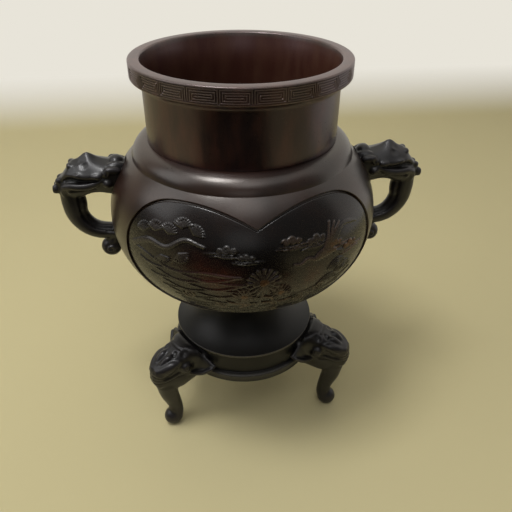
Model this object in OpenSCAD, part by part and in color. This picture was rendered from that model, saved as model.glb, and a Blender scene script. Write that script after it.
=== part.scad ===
// Cast bronze flower vase with a heart-shaped relief panel on each face and two beast-head loop
// handles, set down on a separate ring that stands on three beast-mask legs.
// Millimetres, Z up, handles along X, a panel facing -Y. The origin is on the floor, on the vase's axis.

/* [Neck] */
// Height of the neck, from the seam on the shoulder to the rim
neck_h = 58.8; // [45:0.1:75]
// Outer radius of the neck
neck_r = 73.3; // [70:0.1:76]
// Wall of the neck
neck_wall = 3.8; // [3:0.1:5]
// Outer radius of the rim band
rim_r = 81.3; // [80:0.1:88]
// Height of the rim band
band_h = 12.5; // [8:0.1:18]
// Radius of the mouth at the top of the rim
mouth_r = 72.9; // [71:0.1:76]
// Height over which the mouth opens out
mouth_h = 26; // [10:0.5:35]
// Radius of the cove under the rim band
cove_r = 6.5; // [3:0.1:7]
// Rounding of the rim band's edges
band_edge_r = 1.2; // [0.5:0.1:2]
// Wall of the neck's spigot, which drops into the shoulder
neck_spigot_wall = 1.9; // [1:0.1:2.5]
// Depth of the neck's spigot
neck_spigot_h = 6; // [4:0.1:8]

/* [Body] */
// Radius of the belly's round section
belly_r = 67.4; // [60:0.1:74]
// Radius of the ring on which the belly's section is centred
belly_c = 41.4; // [38:0.1:46]
// Height of the seam above the belly's widest ring
shoulder_h = 62.4; // [58:0.1:66]
// Radius of the shoulder roll's section
roll_r = 14.7; // [11:0.1:17]
// Radius of the ring on which the roll's section is centred
roll_c = 72; // [70:0.1:76]
// Wall of the body
body_wall = 4.5; // [4:0.1:6]
// Radius of the spigot under the body
body_spigot_r = 32; // [28:0.1:34]
// Depth of the spigot under the body
body_spigot_h = 8; // [5:0.1:12]
// Wall of the spigot under the body
body_spigot_wall = 4; // [3:0.1:6]
// Radius of the plate that closes the body's bottom
plate_r = 34; // [32:0.1:38]
// Thickness of the bottom plate
plate_t = 3; // [2:0.1:3.2]

/* [Heart panels] */
// Radius of each lobe of the heart, as a share of the belly's section
lobe_share = 0.668; // [0.58:0.002:0.7]
// Radius of the long arc from a lobe to the notch, as a share of the belly's section
long_arc_share = 1.484; // [1.2:0.002:2]
// Direction that each lobe faces, from the panel's middle (degrees)
lobe_turn = 30; // [26:0.5:33]
// Sideways place of a lobe's centre, seen along that direction
lobe_side = 6; // [3:0.1:9]
// Height of a lobe's centre above the belly's widest ring
lobe_rise = 0.2; // [-4:0.1:3]
// Where the notch sits on the belly's round section (degrees above level)
notch_angle = 29.3; // [25:0.1:33]
// Where the heart's tip sits on the belly's round section (degrees below level)
tip_angle = 64; // [58:0.5:70]
// Depth of the pocket that holds a panel
pocket_depth = 2.4; // [1.5:0.1:3]
// How far the panel's face lies below the body's surface
panel_sink = 0.6; // [0.2:0.1:1]
// Width of the groove around a panel
panel_groove = 1; // [0.5:0.1:2]

/* [Foot] */
// Height of the foot, from the stand to the body's underside
foot_h = 53.9; // [44:0.1:64]
// How far the foot's flared edge reaches past the skirt
flare_reach = 9.6; // [7:0.1:13]
// Thickness of the flared edge
flare_t = 2.2; // [1.5:0.1:4]
// Radius of the foot's waist
waist_r = 36; // [35.5:0.1:42]
// Drop from the body's underside to the waist
waist_drop = 11.4; // [8:0.1:16]
// Wall of the foot at its waist
foot_wall = 3.5; // [3:0.1:3.8]
// Outer radius of the skirt that locates the foot in the stand
skirt_r = 54.5; // [50:0.1:56]
// Depth of the skirt
skirt_h = 8; // [5:0.1:12]
// Wall of the skirt
skirt_wall = 3; // [2:0.1:5]

/* [Handles] */
// Height of a handle, from the crown to the underside of its scroll
handle_h = 95.4; // [92:0.1:99]
// Thickness of the handle's loop, across the vase's plane
loop_w = 17; // [14:0.5:20]
// Width of the handle's head
head_w = 35; // [30:0.5:40]
// Radius of the scroll at the foot of the loop
scroll_r = 8.6; // [7:0.1:10]
// Radius of the rivets that hold a handle
handle_rivet_r = 3; // [2:0.1:3.5]
// How far the rivets reach into a handle
handle_rivet_grip = 11; // [8:0.1:13]

/* [Stand] */
// Turn of the loose stand under the vase (degrees)
stand_turn = 2.8; // [-30:0.1:30]
// Height of the stand ring's underside above the floor
leg_h = 64.4; // [56:0.1:74]
// Height of the stand ring
ring_h = 27.9; // [24:0.1:32]
// Wall of the stand ring
ring_wall = 7.4; // [6:0.1:9]
// How far the ring's lip stands out from its wall
lip_reach = 4.3; // [3:0.1:6]
// Height of the ring's lip
lip_h = 8.5; // [6:0.1:11]
// Rounding of the lip's edges
lip_edge_r = 2; // [1:0.1:3]
// Height of the beast's mask on a leg
mask_h = 47; // [45:0.1:49]
// Radius of the ball that each leg stands on
foot_ball_r = 9.2; // [8:0.1:11]
// Radius of the flat under each foot
foot_flat_r = 4; // [3:0.1:5]
// Angle from a leg's middle to the tip of its ear (degrees)
ear_turn = 26; // [24:0.5:32]
// Radius of the rivets that hold a leg
leg_rivet_r = 2.4; // [1.8:0.1:3]
// How far the rivets reach into a leg
leg_rivet_grip = 9; // [6:0.1:11]

/* [Clearances] */
// Gap between pieces that are soldered or riveted together
seat_gap = 0.1; // [0.05:0.01:0.15]
// Gap all round the foot's skirt, so that the vase lifts off
lift_gap = 0.5; // [0.3:0.05:1]
// Gap between the flared edge of the foot and the legs
leg_gap = 3.5; // [1.5:0.1:4]

/* [Hidden] */
$fn = 120;

// Heights of the joints, one on top of the other, and the belly's widest radius
stand_z = leg_h + ring_h;
belly_bottom = stand_z + foot_h;
belly_z = belly_bottom + belly_r;
seam_z = belly_z + shoulder_h;
rim_z = seam_z + neck_h;
band_z = rim_z - band_h;
belly_out = belly_c + belly_r;
lobe_r = lobe_share * belly_r;
long_arc_r = long_arc_share * belly_r;
// Longer than any cut needs to be
reach = 2 * belly_out;

// Radii that two pieces share
neck_bore_r = neck_r - neck_wall;
neck_spigot_r = neck_bore_r + neck_spigot_wall;
collar_bore_r = neck_spigot_r + seat_gap;
drain_r = body_spigot_r - body_spigot_wall;
skirt_bore_r = skirt_r - skirt_wall;
ring_bore_r = skirt_r + lift_gap;
wall_r = ring_bore_r + ring_wall;
lip_r = wall_r + lip_reach;
flare_r = skirt_r + flare_reach;

// The foot's trumpet is one arc from its waist to the flared edge
waist_z = belly_bottom - waist_drop;
flare_run = flare_r - waist_r;
flare_fall = waist_z - stand_z - flare_t;
trumpet_r = (flare_run * flare_run + flare_fall * flare_fall) / (2 * flare_run);

// Legs stand a third of a turn apart, one of them at the back
LEG_ANGLES = [for (third = [0 : 2]) stand_turn + 210 + 120 * third];
// Handle rivets stand square on the belly's round section, at these angles from level
HANDLE_RIVET_ANGLES = [30, -17];
rivet_head_t = 1.8;
rivet_head_ratio = 1.7;
// Leg rivets pass through the ring's wall, with their heads just clear of its lip
leg_rivet_turn = 8;
leg_rivet_z = leg_h + lip_h + leg_rivet_r * rivet_head_ratio;
// Sides of the sculpted lumps, of their small details and of the cuts that seat them
sculpt_fn = 12;
detail_fn = 8;
seat_fn = 72;
corner_fn = 24;
rivet_hole_fn = 16;
// How far each half of a heart reaches past its middle
heart_lap = 0.3;
// Room that the castings leave round what they sit on
cast_gap = 2 * seat_gap;
// How far the root of an ear stands off the ring's wall
ear_stand = 3.5;

BODY_BRONZE = "#4a352c";
PANEL_BRONZE = "#34302b";
FOOT_BRONZE = "#2b2727";
BEAST_BRONZE = "#38343a";
RIVET_BRONZE = "#54453a";

// Outline helpers in the half plane of a turned section
module right_of_axis() translate([0, -reach]) square([2 * reach, 4 * reach]);
module block(r0, z0, r1, z1) translate([r0, z0]) square([r1 - r0, z1 - z0]);
module round_block(r0, z0, r1, z1, e) {
    block(r0 + e, z0, r1 - e, z1);
    block(r0, z0 + e, r1, z1 - e);
    for (r = [r0 + e, r1 - e], z = [z0 + e, z1 - e]) translate([r, z]) circle(e);
}
module belly_section(grow) translate([belly_c, belly_z]) circle(belly_r + grow);
module roll_section(grow) translate([roll_c, seam_z - roll_r]) circle(roll_r + grow);

// Neck: a tube with an everted rim band, stepped at the bottom to drop into the shoulder
module neck_outline() {
    block(0, seam_z - neck_spigot_h, neck_spigot_r, seam_z + 1);
    block(0, seam_z, neck_r, rim_z - band_edge_r);
    round_block(neck_bore_r, band_z, rim_r, rim_z, band_edge_r);
    difference() {
        block(neck_bore_r, band_z - cove_r, neck_r + cove_r, band_z + band_edge_r);
        translate([neck_r + cove_r, band_z - cove_r]) circle(cove_r);
    }
}
module mouth_outline() {
    block(0, seam_z - neck_spigot_h - 1, neck_bore_r, rim_z + 1);
    polygon([
        [0, rim_z - mouth_h], [neck_bore_r, rim_z - mouth_h], [mouth_r, rim_z],
        [mouth_r, rim_z + 1], [0, rim_z + 1]
    ]);
}
module neck() {
    color(BODY_BRONZE) rotate_extrude() difference() {
        neck_outline();
        mouth_outline();
    }
}

// Body: a round belly with a rolled shoulder, hollow, with a collar above and a spigot below
module body_outline() {
    intersection() {
        union() {
            belly_section(0);
            roll_section(0);
            block(0, belly_bottom, belly_c, belly_z);
            block(0, belly_z, roll_c, seam_z);
        }
        block(0, belly_bottom, reach, seam_z);
    }
    block(0, belly_bottom - body_spigot_h, body_spigot_r, belly_bottom + 1);
}
module body_hollow() {
    floor_z = belly_bottom + body_wall;
    intersection() {
        union() {
            belly_section(-body_wall);
            roll_section(-body_wall);
            block(0, floor_z, belly_c, belly_z);
            block(0, belly_z, collar_bore_r, seam_z + 1);
        }
        right_of_axis();
    }
    block(0, floor_z - plate_t, plate_r + seat_gap, floor_z + 1);
    block(0, belly_bottom - body_spigot_h - 1, drain_r, floor_z);
}
module body() {
    color(BODY_BRONZE) difference() {
        rotate_extrude() difference() {
            body_outline();
            body_hollow();
        }
        for (turn = [0, 180]) rotate(turn) heart_slab(-pocket_depth, belly_r / 10, 0);
        handle_rivet_places() cylinder(h = reach, r = handle_rivet_r + seat_gap, center = true);
    }
}

// Heart outline: a lobe, a long arc up to the notch and a straight side down to the tip,
// seen along the lobe's own direction, as sideways place and height
function on_belly(angle) = [
    -(belly_c + belly_r * cos(angle)) * sin(lobe_turn),
    belly_z + belly_r * sin(angle)
];
function bearing(from, to) = atan2(to[1] - from[1], to[0] - from[0]);
function polar(centre, r, angle) = centre + r * [cos(angle), sin(angle)];
module half_heart(inset) {
    lobe = [lobe_side, belly_z + lobe_rise];
    r = lobe_r - inset;
    // Notch and tip lie a little past the middle, so that the two halves join
    notch = on_belly(notch_angle) - [heart_lap, inset];
    tip = on_belly(-tip_angle) - [heart_lap, -inset];
    low_touch = polar(lobe, r, bearing(lobe, tip) + acos(r / norm(tip - lobe)));
    // The long arc touches the lobe from inside and ends at the notch
    arc_r = long_arc_r - inset;
    spread = norm(notch - lobe);
    lean = acos((arc_r * arc_r - (arc_r - r) * (arc_r - r) - spread * spread) / (2 * (arc_r - r) * spread));
    touch_angle = bearing(lobe, notch) - lean;
    arc_centre = polar(lobe, r - arc_r, touch_angle);
    top_touch = polar(lobe, r, touch_angle);
    translate(lobe) circle(r);
    past_middle = -belly_out;
    polygon([notch, top_touch, lobe, low_touch, tip, [past_middle, tip[1]], [past_middle, notch[1]]]);
    intersection() {
        translate(arc_centre) circle(arc_r);
        polygon([notch, notch + [0, r], top_touch + [0, r], top_touch]);
    }
}
module heart_prism(inset) {
    for (side = [0, 1]) mirror([side, 0, 0]) intersection() {
        rotate([90, 0, lobe_turn]) linear_extrude(reach) half_heart(inset);
        translate([0, -reach, 0]) cube([reach, reach, rim_z]);
    }
}
// A heart-shaped slab that follows the belly, between two depths from its surface
module heart_slab(inner, outer, inset) {
    intersection() {
        rotate_extrude() intersection() {
            difference() {
                belly_section(outer);
                belly_section(inner);
            }
            translate([belly_c, 0]) right_of_axis();
        }
        heart_prism(inset);
    }
}
module panel_front() {
    color(PANEL_BRONZE) heart_slab(seat_gap - pocket_depth, -panel_sink, panel_groove);
}
module panel_back() {
    color(PANEL_BRONZE) rotate(180) heart_slab(seat_gap - pocket_depth, -panel_sink, panel_groove);
}

// Bottom plate: a disc let into the body's floor
module bottom_plate() {
    color(RIVET_BRONZE) translate([0, 0, belly_bottom + body_wall - plate_t]) cylinder(h = plate_t, r = plate_r);
}

// Foot: a hollow trumpet with a socket above and a locating skirt below
module trumpet(grow) translate([waist_r + trumpet_r, waist_z]) circle(trumpet_r + grow);
module foot() {
    color(FOOT_BRONZE) rotate_extrude() {
        difference() {
            block(0, stand_z, flare_r, belly_bottom);
            trumpet(0);
            block(0, stand_z - 1, body_spigot_r + seat_gap, belly_bottom + 1);
            difference() {
                block(0, stand_z - 1, skirt_bore_r, waist_z);
                trumpet(foot_wall);
            }
        }
        block(skirt_bore_r, stand_z - skirt_h, skirt_r, stand_z + 1);
    }
}

// The castings are laid out for a handle 95.4 high and a mask 47 high, and scaled to their own heights
function handle_scale() = handle_h / 95.4;
function mask_scale() = mask_h / 47;

// Sculpted forms: an oval lump, and a row of lumps blended one into the next
module lump(place, size, fn = sculpt_fn) translate(place) scale(size) sphere(1, $fn = fn);
module blend(row, fn = sculpt_fn) {
    for (i = [0 : len(row) - 2]) hull() {
        lump(row[i][0], row[i][1], fn);
        lump(row[i + 1][0], row[i + 1][1], fn);
    }
}

// Handle, drawn on the +X side with its origin at the belly's widest ring: a beast's head with a
// peaked crown, an overhanging brow and a lower lip, and the loop that leaves its mouth
module beast_head() {
    w = head_w / 2 / handle_scale();
    blend([
        [[-14, 0, 31], [9, 0.8 * w, 14]], [[3, 0, 31], [11, 0.9 * w, 14]],
        [[17, 0, 30], [12, 0.84 * w, 12.5]], [[30, 0, 25], [10, 0.6 * w, 9]]
    ]);
    hull() {
        lump([12.5, 0, 48.5], [2.5, 3, 2.5]);
        lump([1, 0, 37], [4, 0.75 * w, 7]);
        lump([25, 0, 34], [4, 0.75 * w, 6]);
    }
    lump([-9, 0, 43.5], [5, 6, 4]);
    for (s = [-1, 1]) {
        blend([
            [[3, s * 0.78 * w, 37], [5, 4, 5]], [[13, s * 0.86 * w, 35], [6, 3.5, 4]],
            [[26, s * 0.68 * w, 32.5], [4.5, 3.5, 3.5]], [[35, s * 0.14 * w, 29.5], [3, 3, 3]]
        ], detail_fn);
        blend([
            [[8, s * 0.72 * w, 26], [4, 4, 3]], [[20, s * 0.78 * w, 26.5], [5, 4, 3]],
            [[34, s * 0.4 * w, 23.5], [4, 4, 4]]
        ], detail_fn);
        lump([39.5, s * 0.18 * w, 22.5], [3, 3, 3.8], detail_fn);
        lump([-7, s * 0.54 * w, 43], [3.6, 3.6, 3.4], detail_fn);
        lump([-3.6, s * 0.8 * w, 40.6], [3.6, 3.4, 3.6], detail_fn);
        lump([-1, s * 0.82 * w, 29.5], [3.6, 3.4, 3.6], detail_fn);
    }
}
module handle_loop() {
    w = loop_w / 2 / handle_scale();
    scroll = scroll_r / handle_scale();
    blend([
        [[30, 0, 18], [9, 1.1 * w, 9]], [[28.7, 0, 8], [10.3, 1.06 * w, 9]], [[28.4, 0, -2], [9, w, 8]],
        [[25, 0, -9.5], [8.4, 0.96 * w, 8.4]], [[19.5, 0, -15.5], [7.8, 0.94 * w, 7.8]],
        [[13, 0, -18.8], [7.4, 0.9 * w, 7.4]], [[5, 0, -20], [7, 0.85 * w, 7]], [[-10, 0, -20], [6.5, 0.82 * w, 6.5]]
    ]);
    blend([
        [[1, 0, -23], [4.5, 0.7 * w, 5]],
        [[5.5, 0, -27.2 - scroll], [scroll, 0.94 * w, scroll]]
    ]);
}
module handle() {
    color(BEAST_BRONZE) difference() {
        translate([belly_out, 0, belly_z]) scale(handle_scale()) {
            beast_head();
            handle_loop();
        }
        rotate_extrude() intersection() {
            belly_section(cast_gap);
            right_of_axis();
        }
        handle_rivet_line() cylinder(
            h = belly_r + handle_rivet_grip + cast_gap, r = handle_rivet_r + cast_gap, $fn = rivet_hole_fn
        );
    }
}
module handle_left() rotate(180) handle();
module handle_right() handle();

// Rivets through the belly's wall, headed inside, two to a handle
module handle_rivet_line() {
    for (angle = HANDLE_RIVET_ANGLES) translate([belly_c, 0, belly_z]) rotate([0, 90 - angle, 0]) children();
}
module handle_rivet_places() {
    for (turn = [0, 180]) rotate(turn) handle_rivet_line() translate([0, 0, belly_r]) children();
}
module handle_rivets() {
    head_r = handle_rivet_r * rivet_head_ratio;
    inside_r = belly_r - body_wall;
    head_z = sqrt(inside_r * inside_r - head_r * head_r) - rivet_head_t - seat_gap;
    color(RIVET_BRONZE) for (turn = [0, 180]) rotate(turn) handle_rivet_line() {
        translate([0, 0, head_z]) cylinder(h = rivet_head_t, r = head_r);
        translate([0, 0, head_z]) cylinder(h = belly_r + handle_rivet_grip - head_z, r = handle_rivet_r);
    }
}

// Stand ring: a plain wall that the foot rests on, with a rounded lip at its lower edge
module ring_outline(grow) {
    block(ring_bore_r, leg_h, wall_r + grow, stand_z + grow);
    round_block(ring_bore_r, leg_h - grow, lip_r + grow, leg_h + lip_h + grow, lip_edge_r);
}
module stand_ring() {
    color(FOOT_BRONZE) difference() {
        rotate_extrude() ring_outline(0);
        leg_rivet_lines() cylinder(h = reach, r = leg_rivet_r + seat_gap);
    }
}

// Leg, drawn on the +X side with its origin on the ring's wall at its underside: a beast's mask
// with leaf ears that follow the ring, and a trunk that curls out into a ball foot
module beast_mask() {
    blend([
        [[6, 0, 13], [8, 16, 13]], [[19, 0, 13.5], [11.5, 15, 12]], [[33, 0, 10], [8.5, 13, 9.5]]
    ]);
    blend([
        [[7, 0, -3], [9, 12, 11]], [[22, 0, -4], [11, 12.5, 12]], [[35, 0, -2], [8.5, 10, 8]]
    ]);
    blend([[[8, 0, 22], [7, 15, 8]], [[15, 0, 20.5], [7, 14, 8]]]);
    for (s = [-1, 1]) {
        blend([[[20, s * 6.5, 21], [5, 5, 5]], [[31, s * 6, 15.5], [4.5, 5, 4.5]]], detail_fn);
        lump([19, s * 14, 15], [5.5, 4, 5.5], detail_fn);
        blend([[[20, s * 11, 4], [5, 4, 3]], [[37, s * 6, 6], [5, 4, 3]]], detail_fn);
    }
}
// A leaf ear, as lumps placed by their share of the ear's turn, with their height, half width
// and how far they stand off the ring's wall, as a share of the ear's stand
module leaf_ear() {
    k = mask_scale();
    leaf = [[0.25, 12, 13.5, 1], [0.6, 11.4, 10, 1.1], [0.86, 12.6, 6, 1.4], [0.98, 14.2, 3, 1.6]];
    for (s = [-1, 1]) blend([
        for (part = leaf)
            let (angle = part[0] * ear_turn, ear_r = wall_r + part[3] * ear_stand)
            [[ear_r * cos(angle) - wall_r, s * ear_r * sin(angle), k * part[1]], k * [4, 5, part[2]]]
    ], detail_fn);
}
module leg_trunk() {
    k = mask_scale();
    // Places down the trunk are shares of the leg's height
    drop = -leg_h;
    ball_z = sqrt(foot_ball_r * foot_ball_r - foot_flat_r * foot_flat_r) - leg_h;
    blend([
        [[29 * k, 0, 0.14 * drop], k * [12, 10.5, 9]], [[28.3 * k, 0, 0.34 * drop], k * [8.8, 8.8, 8]],
        [[25.3 * k, 0, 0.53 * drop], k * [7.4, 7.6, 7.4]], [[23.3 * k, 0, 0.68 * drop], k * [6.6, 7.2, 7]],
        [[23.6 * k, 0, 0.81 * drop], k * [7.2, 8, 7]],
        [[26.4 * k, 0, ball_z], [foot_ball_r, 0.9 * foot_ball_r, foot_ball_r]]
    ]);
}
module leg() {
    color(BEAST_BRONZE) difference() {
        translate([wall_r, 0, leg_h]) {
            scale(mask_scale()) beast_mask();
            leaf_ear();
            leg_trunk();
        }
        rotate_extrude($fn = seat_fn) ring_outline(cast_gap, $fn = corner_fn);
        translate([0, 0, stand_z - flare_t]) cylinder(h = reach, r = flare_r + leg_gap);
        translate([-reach, -reach, -reach]) cube([2 * reach, 2 * reach, reach]);
        leg_rivet_line() cylinder(
            h = wall_r + leg_rivet_grip + cast_gap, r = leg_rivet_r + cast_gap, $fn = rivet_hole_fn
        );
    }
}
module leg_left() rotate(LEG_ANGLES[0]) leg();
module leg_right() rotate(LEG_ANGLES[1]) leg();
module leg_rear() rotate(LEG_ANGLES[2]) leg();

// Rivets through the ring's wall, headed inside, two to a leg
module leg_rivet_line() {
    for (s = [-1, 1]) rotate(s * leg_rivet_turn) translate([0, 0, leg_rivet_z]) rotate([0, 90, 0]) children();
}
module leg_rivet_lines() {
    for (angle = LEG_ANGLES) rotate(angle) leg_rivet_line() children();
}
module leg_rivets() {
    head_r = leg_rivet_r * rivet_head_ratio;
    head_x = sqrt(ring_bore_r * ring_bore_r - head_r * head_r) - rivet_head_t - seat_gap;
    color(RIVET_BRONZE) leg_rivet_lines() {
        translate([0, 0, head_x]) cylinder(h = rivet_head_t, r = head_r);
        translate([0, 0, head_x]) cylinder(h = wall_r + leg_rivet_grip - head_x, r = leg_rivet_r);
    }
}

neck();
body();
panel_front();
panel_back();
bottom_plate();
foot();
handle_left();
handle_right();
handle_rivets();
stand_ring();
leg_left();
leg_right();
leg_rear();
leg_rivets();
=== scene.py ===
"""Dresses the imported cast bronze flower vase: patina, relief panels, key-fret band and carved beasts."""
import math

import bmesh
import bpy
import numpy as np
from mathutils import Matrix, Vector


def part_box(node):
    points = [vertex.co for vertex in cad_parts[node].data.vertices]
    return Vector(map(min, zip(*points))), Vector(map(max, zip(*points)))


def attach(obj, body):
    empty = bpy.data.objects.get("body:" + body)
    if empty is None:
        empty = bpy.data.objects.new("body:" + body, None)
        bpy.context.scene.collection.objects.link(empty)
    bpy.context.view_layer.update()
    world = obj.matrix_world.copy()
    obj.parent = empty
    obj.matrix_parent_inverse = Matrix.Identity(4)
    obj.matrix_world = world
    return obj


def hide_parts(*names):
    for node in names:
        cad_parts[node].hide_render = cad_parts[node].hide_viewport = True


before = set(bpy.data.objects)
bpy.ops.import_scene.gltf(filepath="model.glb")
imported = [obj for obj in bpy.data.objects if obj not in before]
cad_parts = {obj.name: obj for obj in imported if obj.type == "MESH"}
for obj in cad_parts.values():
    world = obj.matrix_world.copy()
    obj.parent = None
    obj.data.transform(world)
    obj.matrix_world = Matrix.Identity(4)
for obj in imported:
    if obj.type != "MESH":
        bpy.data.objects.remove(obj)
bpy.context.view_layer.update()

bl_info = {
    "name": "Bronze flower vase",
    "version": (1, 0, 0),
    "blender": (4, 5, 0),
    "location": "3D View > Sidebar > Vase",
    "description": "Builds the surfaces, materials and stage of a cast bronze flower vase",
    "category": "Add Mesh",
}

MM = 0.001
# Points closer than this are one point
WELD = 0.001 * MM
# Rows of points in the rounding of an edge
EDGE_ROWS = 6


def length(mm, name, description):
    """A size in metres, written in millimetres."""
    return bpy.props.FloatProperty(
        name=name, description=description, default=mm * MM, unit="LENGTH", precision=4)


def angle(degrees, name, description):
    """An angle in radians, written in degrees."""
    return bpy.props.FloatProperty(
        name=name, description=description, default=math.radians(degrees), subtype="ANGLE")


def power(watts, name, description):
    """A lamp's power in watts."""
    return bpy.props.FloatProperty(name=name, description=description, default=watts, unit="POWER")


def linear(code):
    """Linear red, green and blue of an sRGB hex colour."""
    share = np.array([int(code[i:i + 2], 16) for i in (1, 3, 5)]) / 255
    return tuple(np.where(share <= 0.04045, share / 12.92, ((share + 0.055) / 1.055) ** 2.4).tolist())


def colour(code, name, description):
    """A colour property, written as an sRGB hex colour."""
    return bpy.props.FloatVectorProperty(
        name=name, description=description, default=linear(code), size=3, subtype="COLOR", min=0, max=1)


class VaseSizes(bpy.types.PropertyGroup):
    """Sizes that the surfaces share with the solids."""
    neck_r: length(73.3, "Neck radius", "Outer radius of the neck")
    bore_r: length(69.5, "Neck bore", "Inner radius of the neck")
    spigot_r: length(71.4, "Neck spigot radius", "Radius of the step that drops into the shoulder")
    rim_r: length(81.3, "Rim radius", "Outer radius of the rim band")
    band_h: length(12.5, "Band height", "Height of the rim band")
    band_edge: length(1.2, "Band edge", "Rounding of the rim band's edges")
    mouth_r: length(72.9, "Mouth radius", "Radius of the mouth at the top of the rim")
    mouth_h: length(26, "Mouth height", "Height over which the mouth opens out")
    mouth_arc: length(90, "Mouth arc", "Radius of the arc in which the mouth opens out")
    cove_r: length(6.5, "Cove radius", "Radius of the cove under the rim band")
    fret_lift: length(0.55, "Fret depth", "How deep the ground of the key fret lies")
    belly_c: length(41.4, "Belly ring", "Radius of the ring on which the belly's section is centred")
    belly_r: length(67.4, "Belly section", "Radius of the belly's round section")
    roll_c: length(72, "Roll ring", "Radius of the ring on which the shoulder roll is centred")
    roll_r: length(14.7, "Roll section", "Radius of the shoulder roll's section")
    body_wall: length(4.5, "Body wall", "Wall of the body")
    collar_r: length(71.5, "Collar bore", "Bore of the shoulder that takes the neck's spigot")
    socket_r: length(32, "Socket radius", "Radius of the spigot under the body")
    drain_r: length(28, "Drain radius", "Bore of the spigot under the body")
    lobe_r: length(45.02, "Lobe radius", "Radius of each lobe of the heart")
    lobe_side: length(6, "Lobe side", "Sideways place of a lobe's centre")
    lobe_rise: length(0.2, "Lobe rise", "Height of a lobe's centre above the belly's widest ring")
    long_arc_r: length(100.02, "Long arc", "Radius of the arc from a lobe to the notch")
    lobe_turn: angle(30, "Lobe turn", "Direction that each lobe faces")
    notch: angle(29.3, "Notch", "Where the notch sits on the belly's section")
    tip: angle(-64, "Tip", "Where the heart's tip sits on the belly's section")
    pocket: length(2.4, "Pocket depth", "Depth of the pocket that holds a panel")
    groove: length(1, "Groove", "Width of the groove around a panel")
    panel_sink: length(1.2, "Panel sink", "How far the panel's ground lies below the body's surface")
    flare_t: length(2.2, "Flare edge", "Thickness of the foot's flared edge")
    waist_r: length(36, "Waist radius", "Radius of the foot's waist")
    waist_drop: length(11.4, "Waist drop", "Drop from the body's underside to the waist")
    foot_wall: length(3.5, "Foot wall", "Wall of the foot")
    skirt_r: length(54.5, "Skirt radius", "Radius of the skirt that locates the foot")
    skirt_wall: length(3, "Skirt wall", "Wall of the skirt")
    ring_bore: length(55, "Ring bore", "Bore of the stand ring")
    wall_r: length(62.4, "Ring wall", "Outer radius of the stand ring's wall")
    lip_h: length(8.5, "Lip height", "Height of the ring's lip")
    lip_edge: length(2, "Lip edge", "Rounding of the lip's edges")
    leg_gap: length(3.5, "Leg gap", "Gap between the foot's edge and the legs")
    stand_turn: angle(2.8, "Stand turn", "Turn of the loose stand under the vase")
    voxel: length(0.6, "Sculpt grain", "Grain of the sculpted castings")


class VaseColours(bpy.types.PropertyGroup):
    """Colours of the patina, as they look in even light."""
    body_dark: colour("#180d0a", "Body, dark", "Chocolate patina in the hollows of the mottling")
    body_light: colour("#2d1b14", "Body, light", "Patina where hands have rubbed the body")
    neck_light: colour("#3e2118", "Neck, light", "Patina of the neck where its brushed lacquer is thin")
    inside: colour("#4b3023", "Inside", "Reddish oxide inside the neck")
    panel_dark: colour("#0e0b0a", "Panel, dark", "Charcoal ground of the relief panels")
    panel_light: colour("#1c1310", "Panel, light", "Brown that shows through the charcoal")
    panel_rust: colour("#4a2015", "Panel, rust", "Rust brown in the middle of each lobe")
    # Rubbed tops of the relief, lighter also as a painted highlight
    panel_worn_and_highlight: colour("#4a4642", "Panel, worn", "Rubbed tops of the relief")
    gilt: colour("#5f3f22", "Gilt", "Warm metal that shows through on parts of the relief")
    foot_dark: colour("#0d0c0b", "Foot, dark", "Black patina of the foot and the ring")
    foot_light: colour("#181614", "Foot, light", "Thinner patina of the foot and the ring")
    # Bare metal along the rubbed edges of foot and ring, also a painted highlight line there
    foot_worn_and_highlight: colour("#5d5a56", "Foot, worn", "Bare metal along the rubbed edges")
    beast_dark: colour("#0e0c0c", "Beast, dark", "Black patina in the hollows of the castings")
    beast_light: colour("#181516", "Beast, light", "Thinner patina of the castings")
    # Worn grey of the castings, also a painted highlight on their balls
    beast_worn_and_highlight: colour("#3d3a3c", "Beast, worn", "Cool grey on the worn high points")
    rivet: colour("#54453a", "Rivet", "Plain bronze of the rivets and the plate")
    rim_worn: colour("#7b7067", "Rim, worn", "Grey-brown on the rubbed rim")
    floor: colour("#c5ba8e", "Floor", "Plain pale floor")
    wall: colour("#e8e4d9", "Wall", "White of the backdrop above the floor")


class VaseStage(bpy.types.PropertyGroup):
    """Camera and lamps."""
    eye: bpy.props.FloatVectorProperty(
        name="Eye", description="Where the camera stands", default=(-0.03714, -0.39597, 0.43008), size=3,
        unit="LENGTH")
    aim: bpy.props.FloatVectorProperty(
        name="Aim", description="Direction of the camera's view", default=(0.10055, 0.81888, -0.56511),
        size=3, subtype="DIRECTION")
    roll: angle(0.313, "Roll", "Tilt of the camera about its view")
    lens: bpy.props.FloatProperty(
        name="Lens", description="Focal length in millimetres", default=37.246, unit="CAMERA")
    window: power(6.5, "Window", "Power of the large lamp at the left")
    ceiling: power(9, "Ceiling", "Power of the lamp overhead")
    front: power(2.4, "Front", "Power of the lamp above the camera")
    fill: power(0.5, "Fill", "Power of the small lamp under the camera")
    panel: power(23.5, "Panel", "Power of the wide lamp over the floor")
    air: bpy.props.FloatProperty(
        name="Air", description="Strength of the light from all round", default=0.12, subtype="FACTOR",
        min=0, max=1)


def spline(knots, values, at):
    """Smooth curve through values at knots: cubic Hermite pieces with slopes from the neighbours."""
    knots, values, at = (np.asarray(item, float) for item in (knots, values, at))
    slopes = np.gradient(values, knots, axis=0)
    piece = np.clip(np.searchsorted(knots, at, side="right") - 1, 0, len(knots) - 2)
    width = knots[piece + 1] - knots[piece]
    t = (at - knots[piece]) / width
    shape = (-1,) + (1,) * (values.ndim - 1)
    t, width = t.reshape(shape), width.reshape(shape)
    return ((2 * t**3 - 3 * t**2 + 1) * values[piece] + (t**3 - 2 * t**2 + t) * width * slopes[piece]
            + (3 * t**2 - 2 * t**3) * values[piece + 1] + (t**3 - t**2) * width * slopes[piece + 1])


def smooth_path(points, count):
    """A smooth path of count points through a few control points, spaced by their distances."""
    points = np.asarray(points, float)
    steps = np.linalg.norm(np.diff(points, axis=0), axis=1)
    along = np.concatenate([[0], np.cumsum(steps)])
    return spline(along, points, np.linspace(0, along[-1], count))


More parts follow.
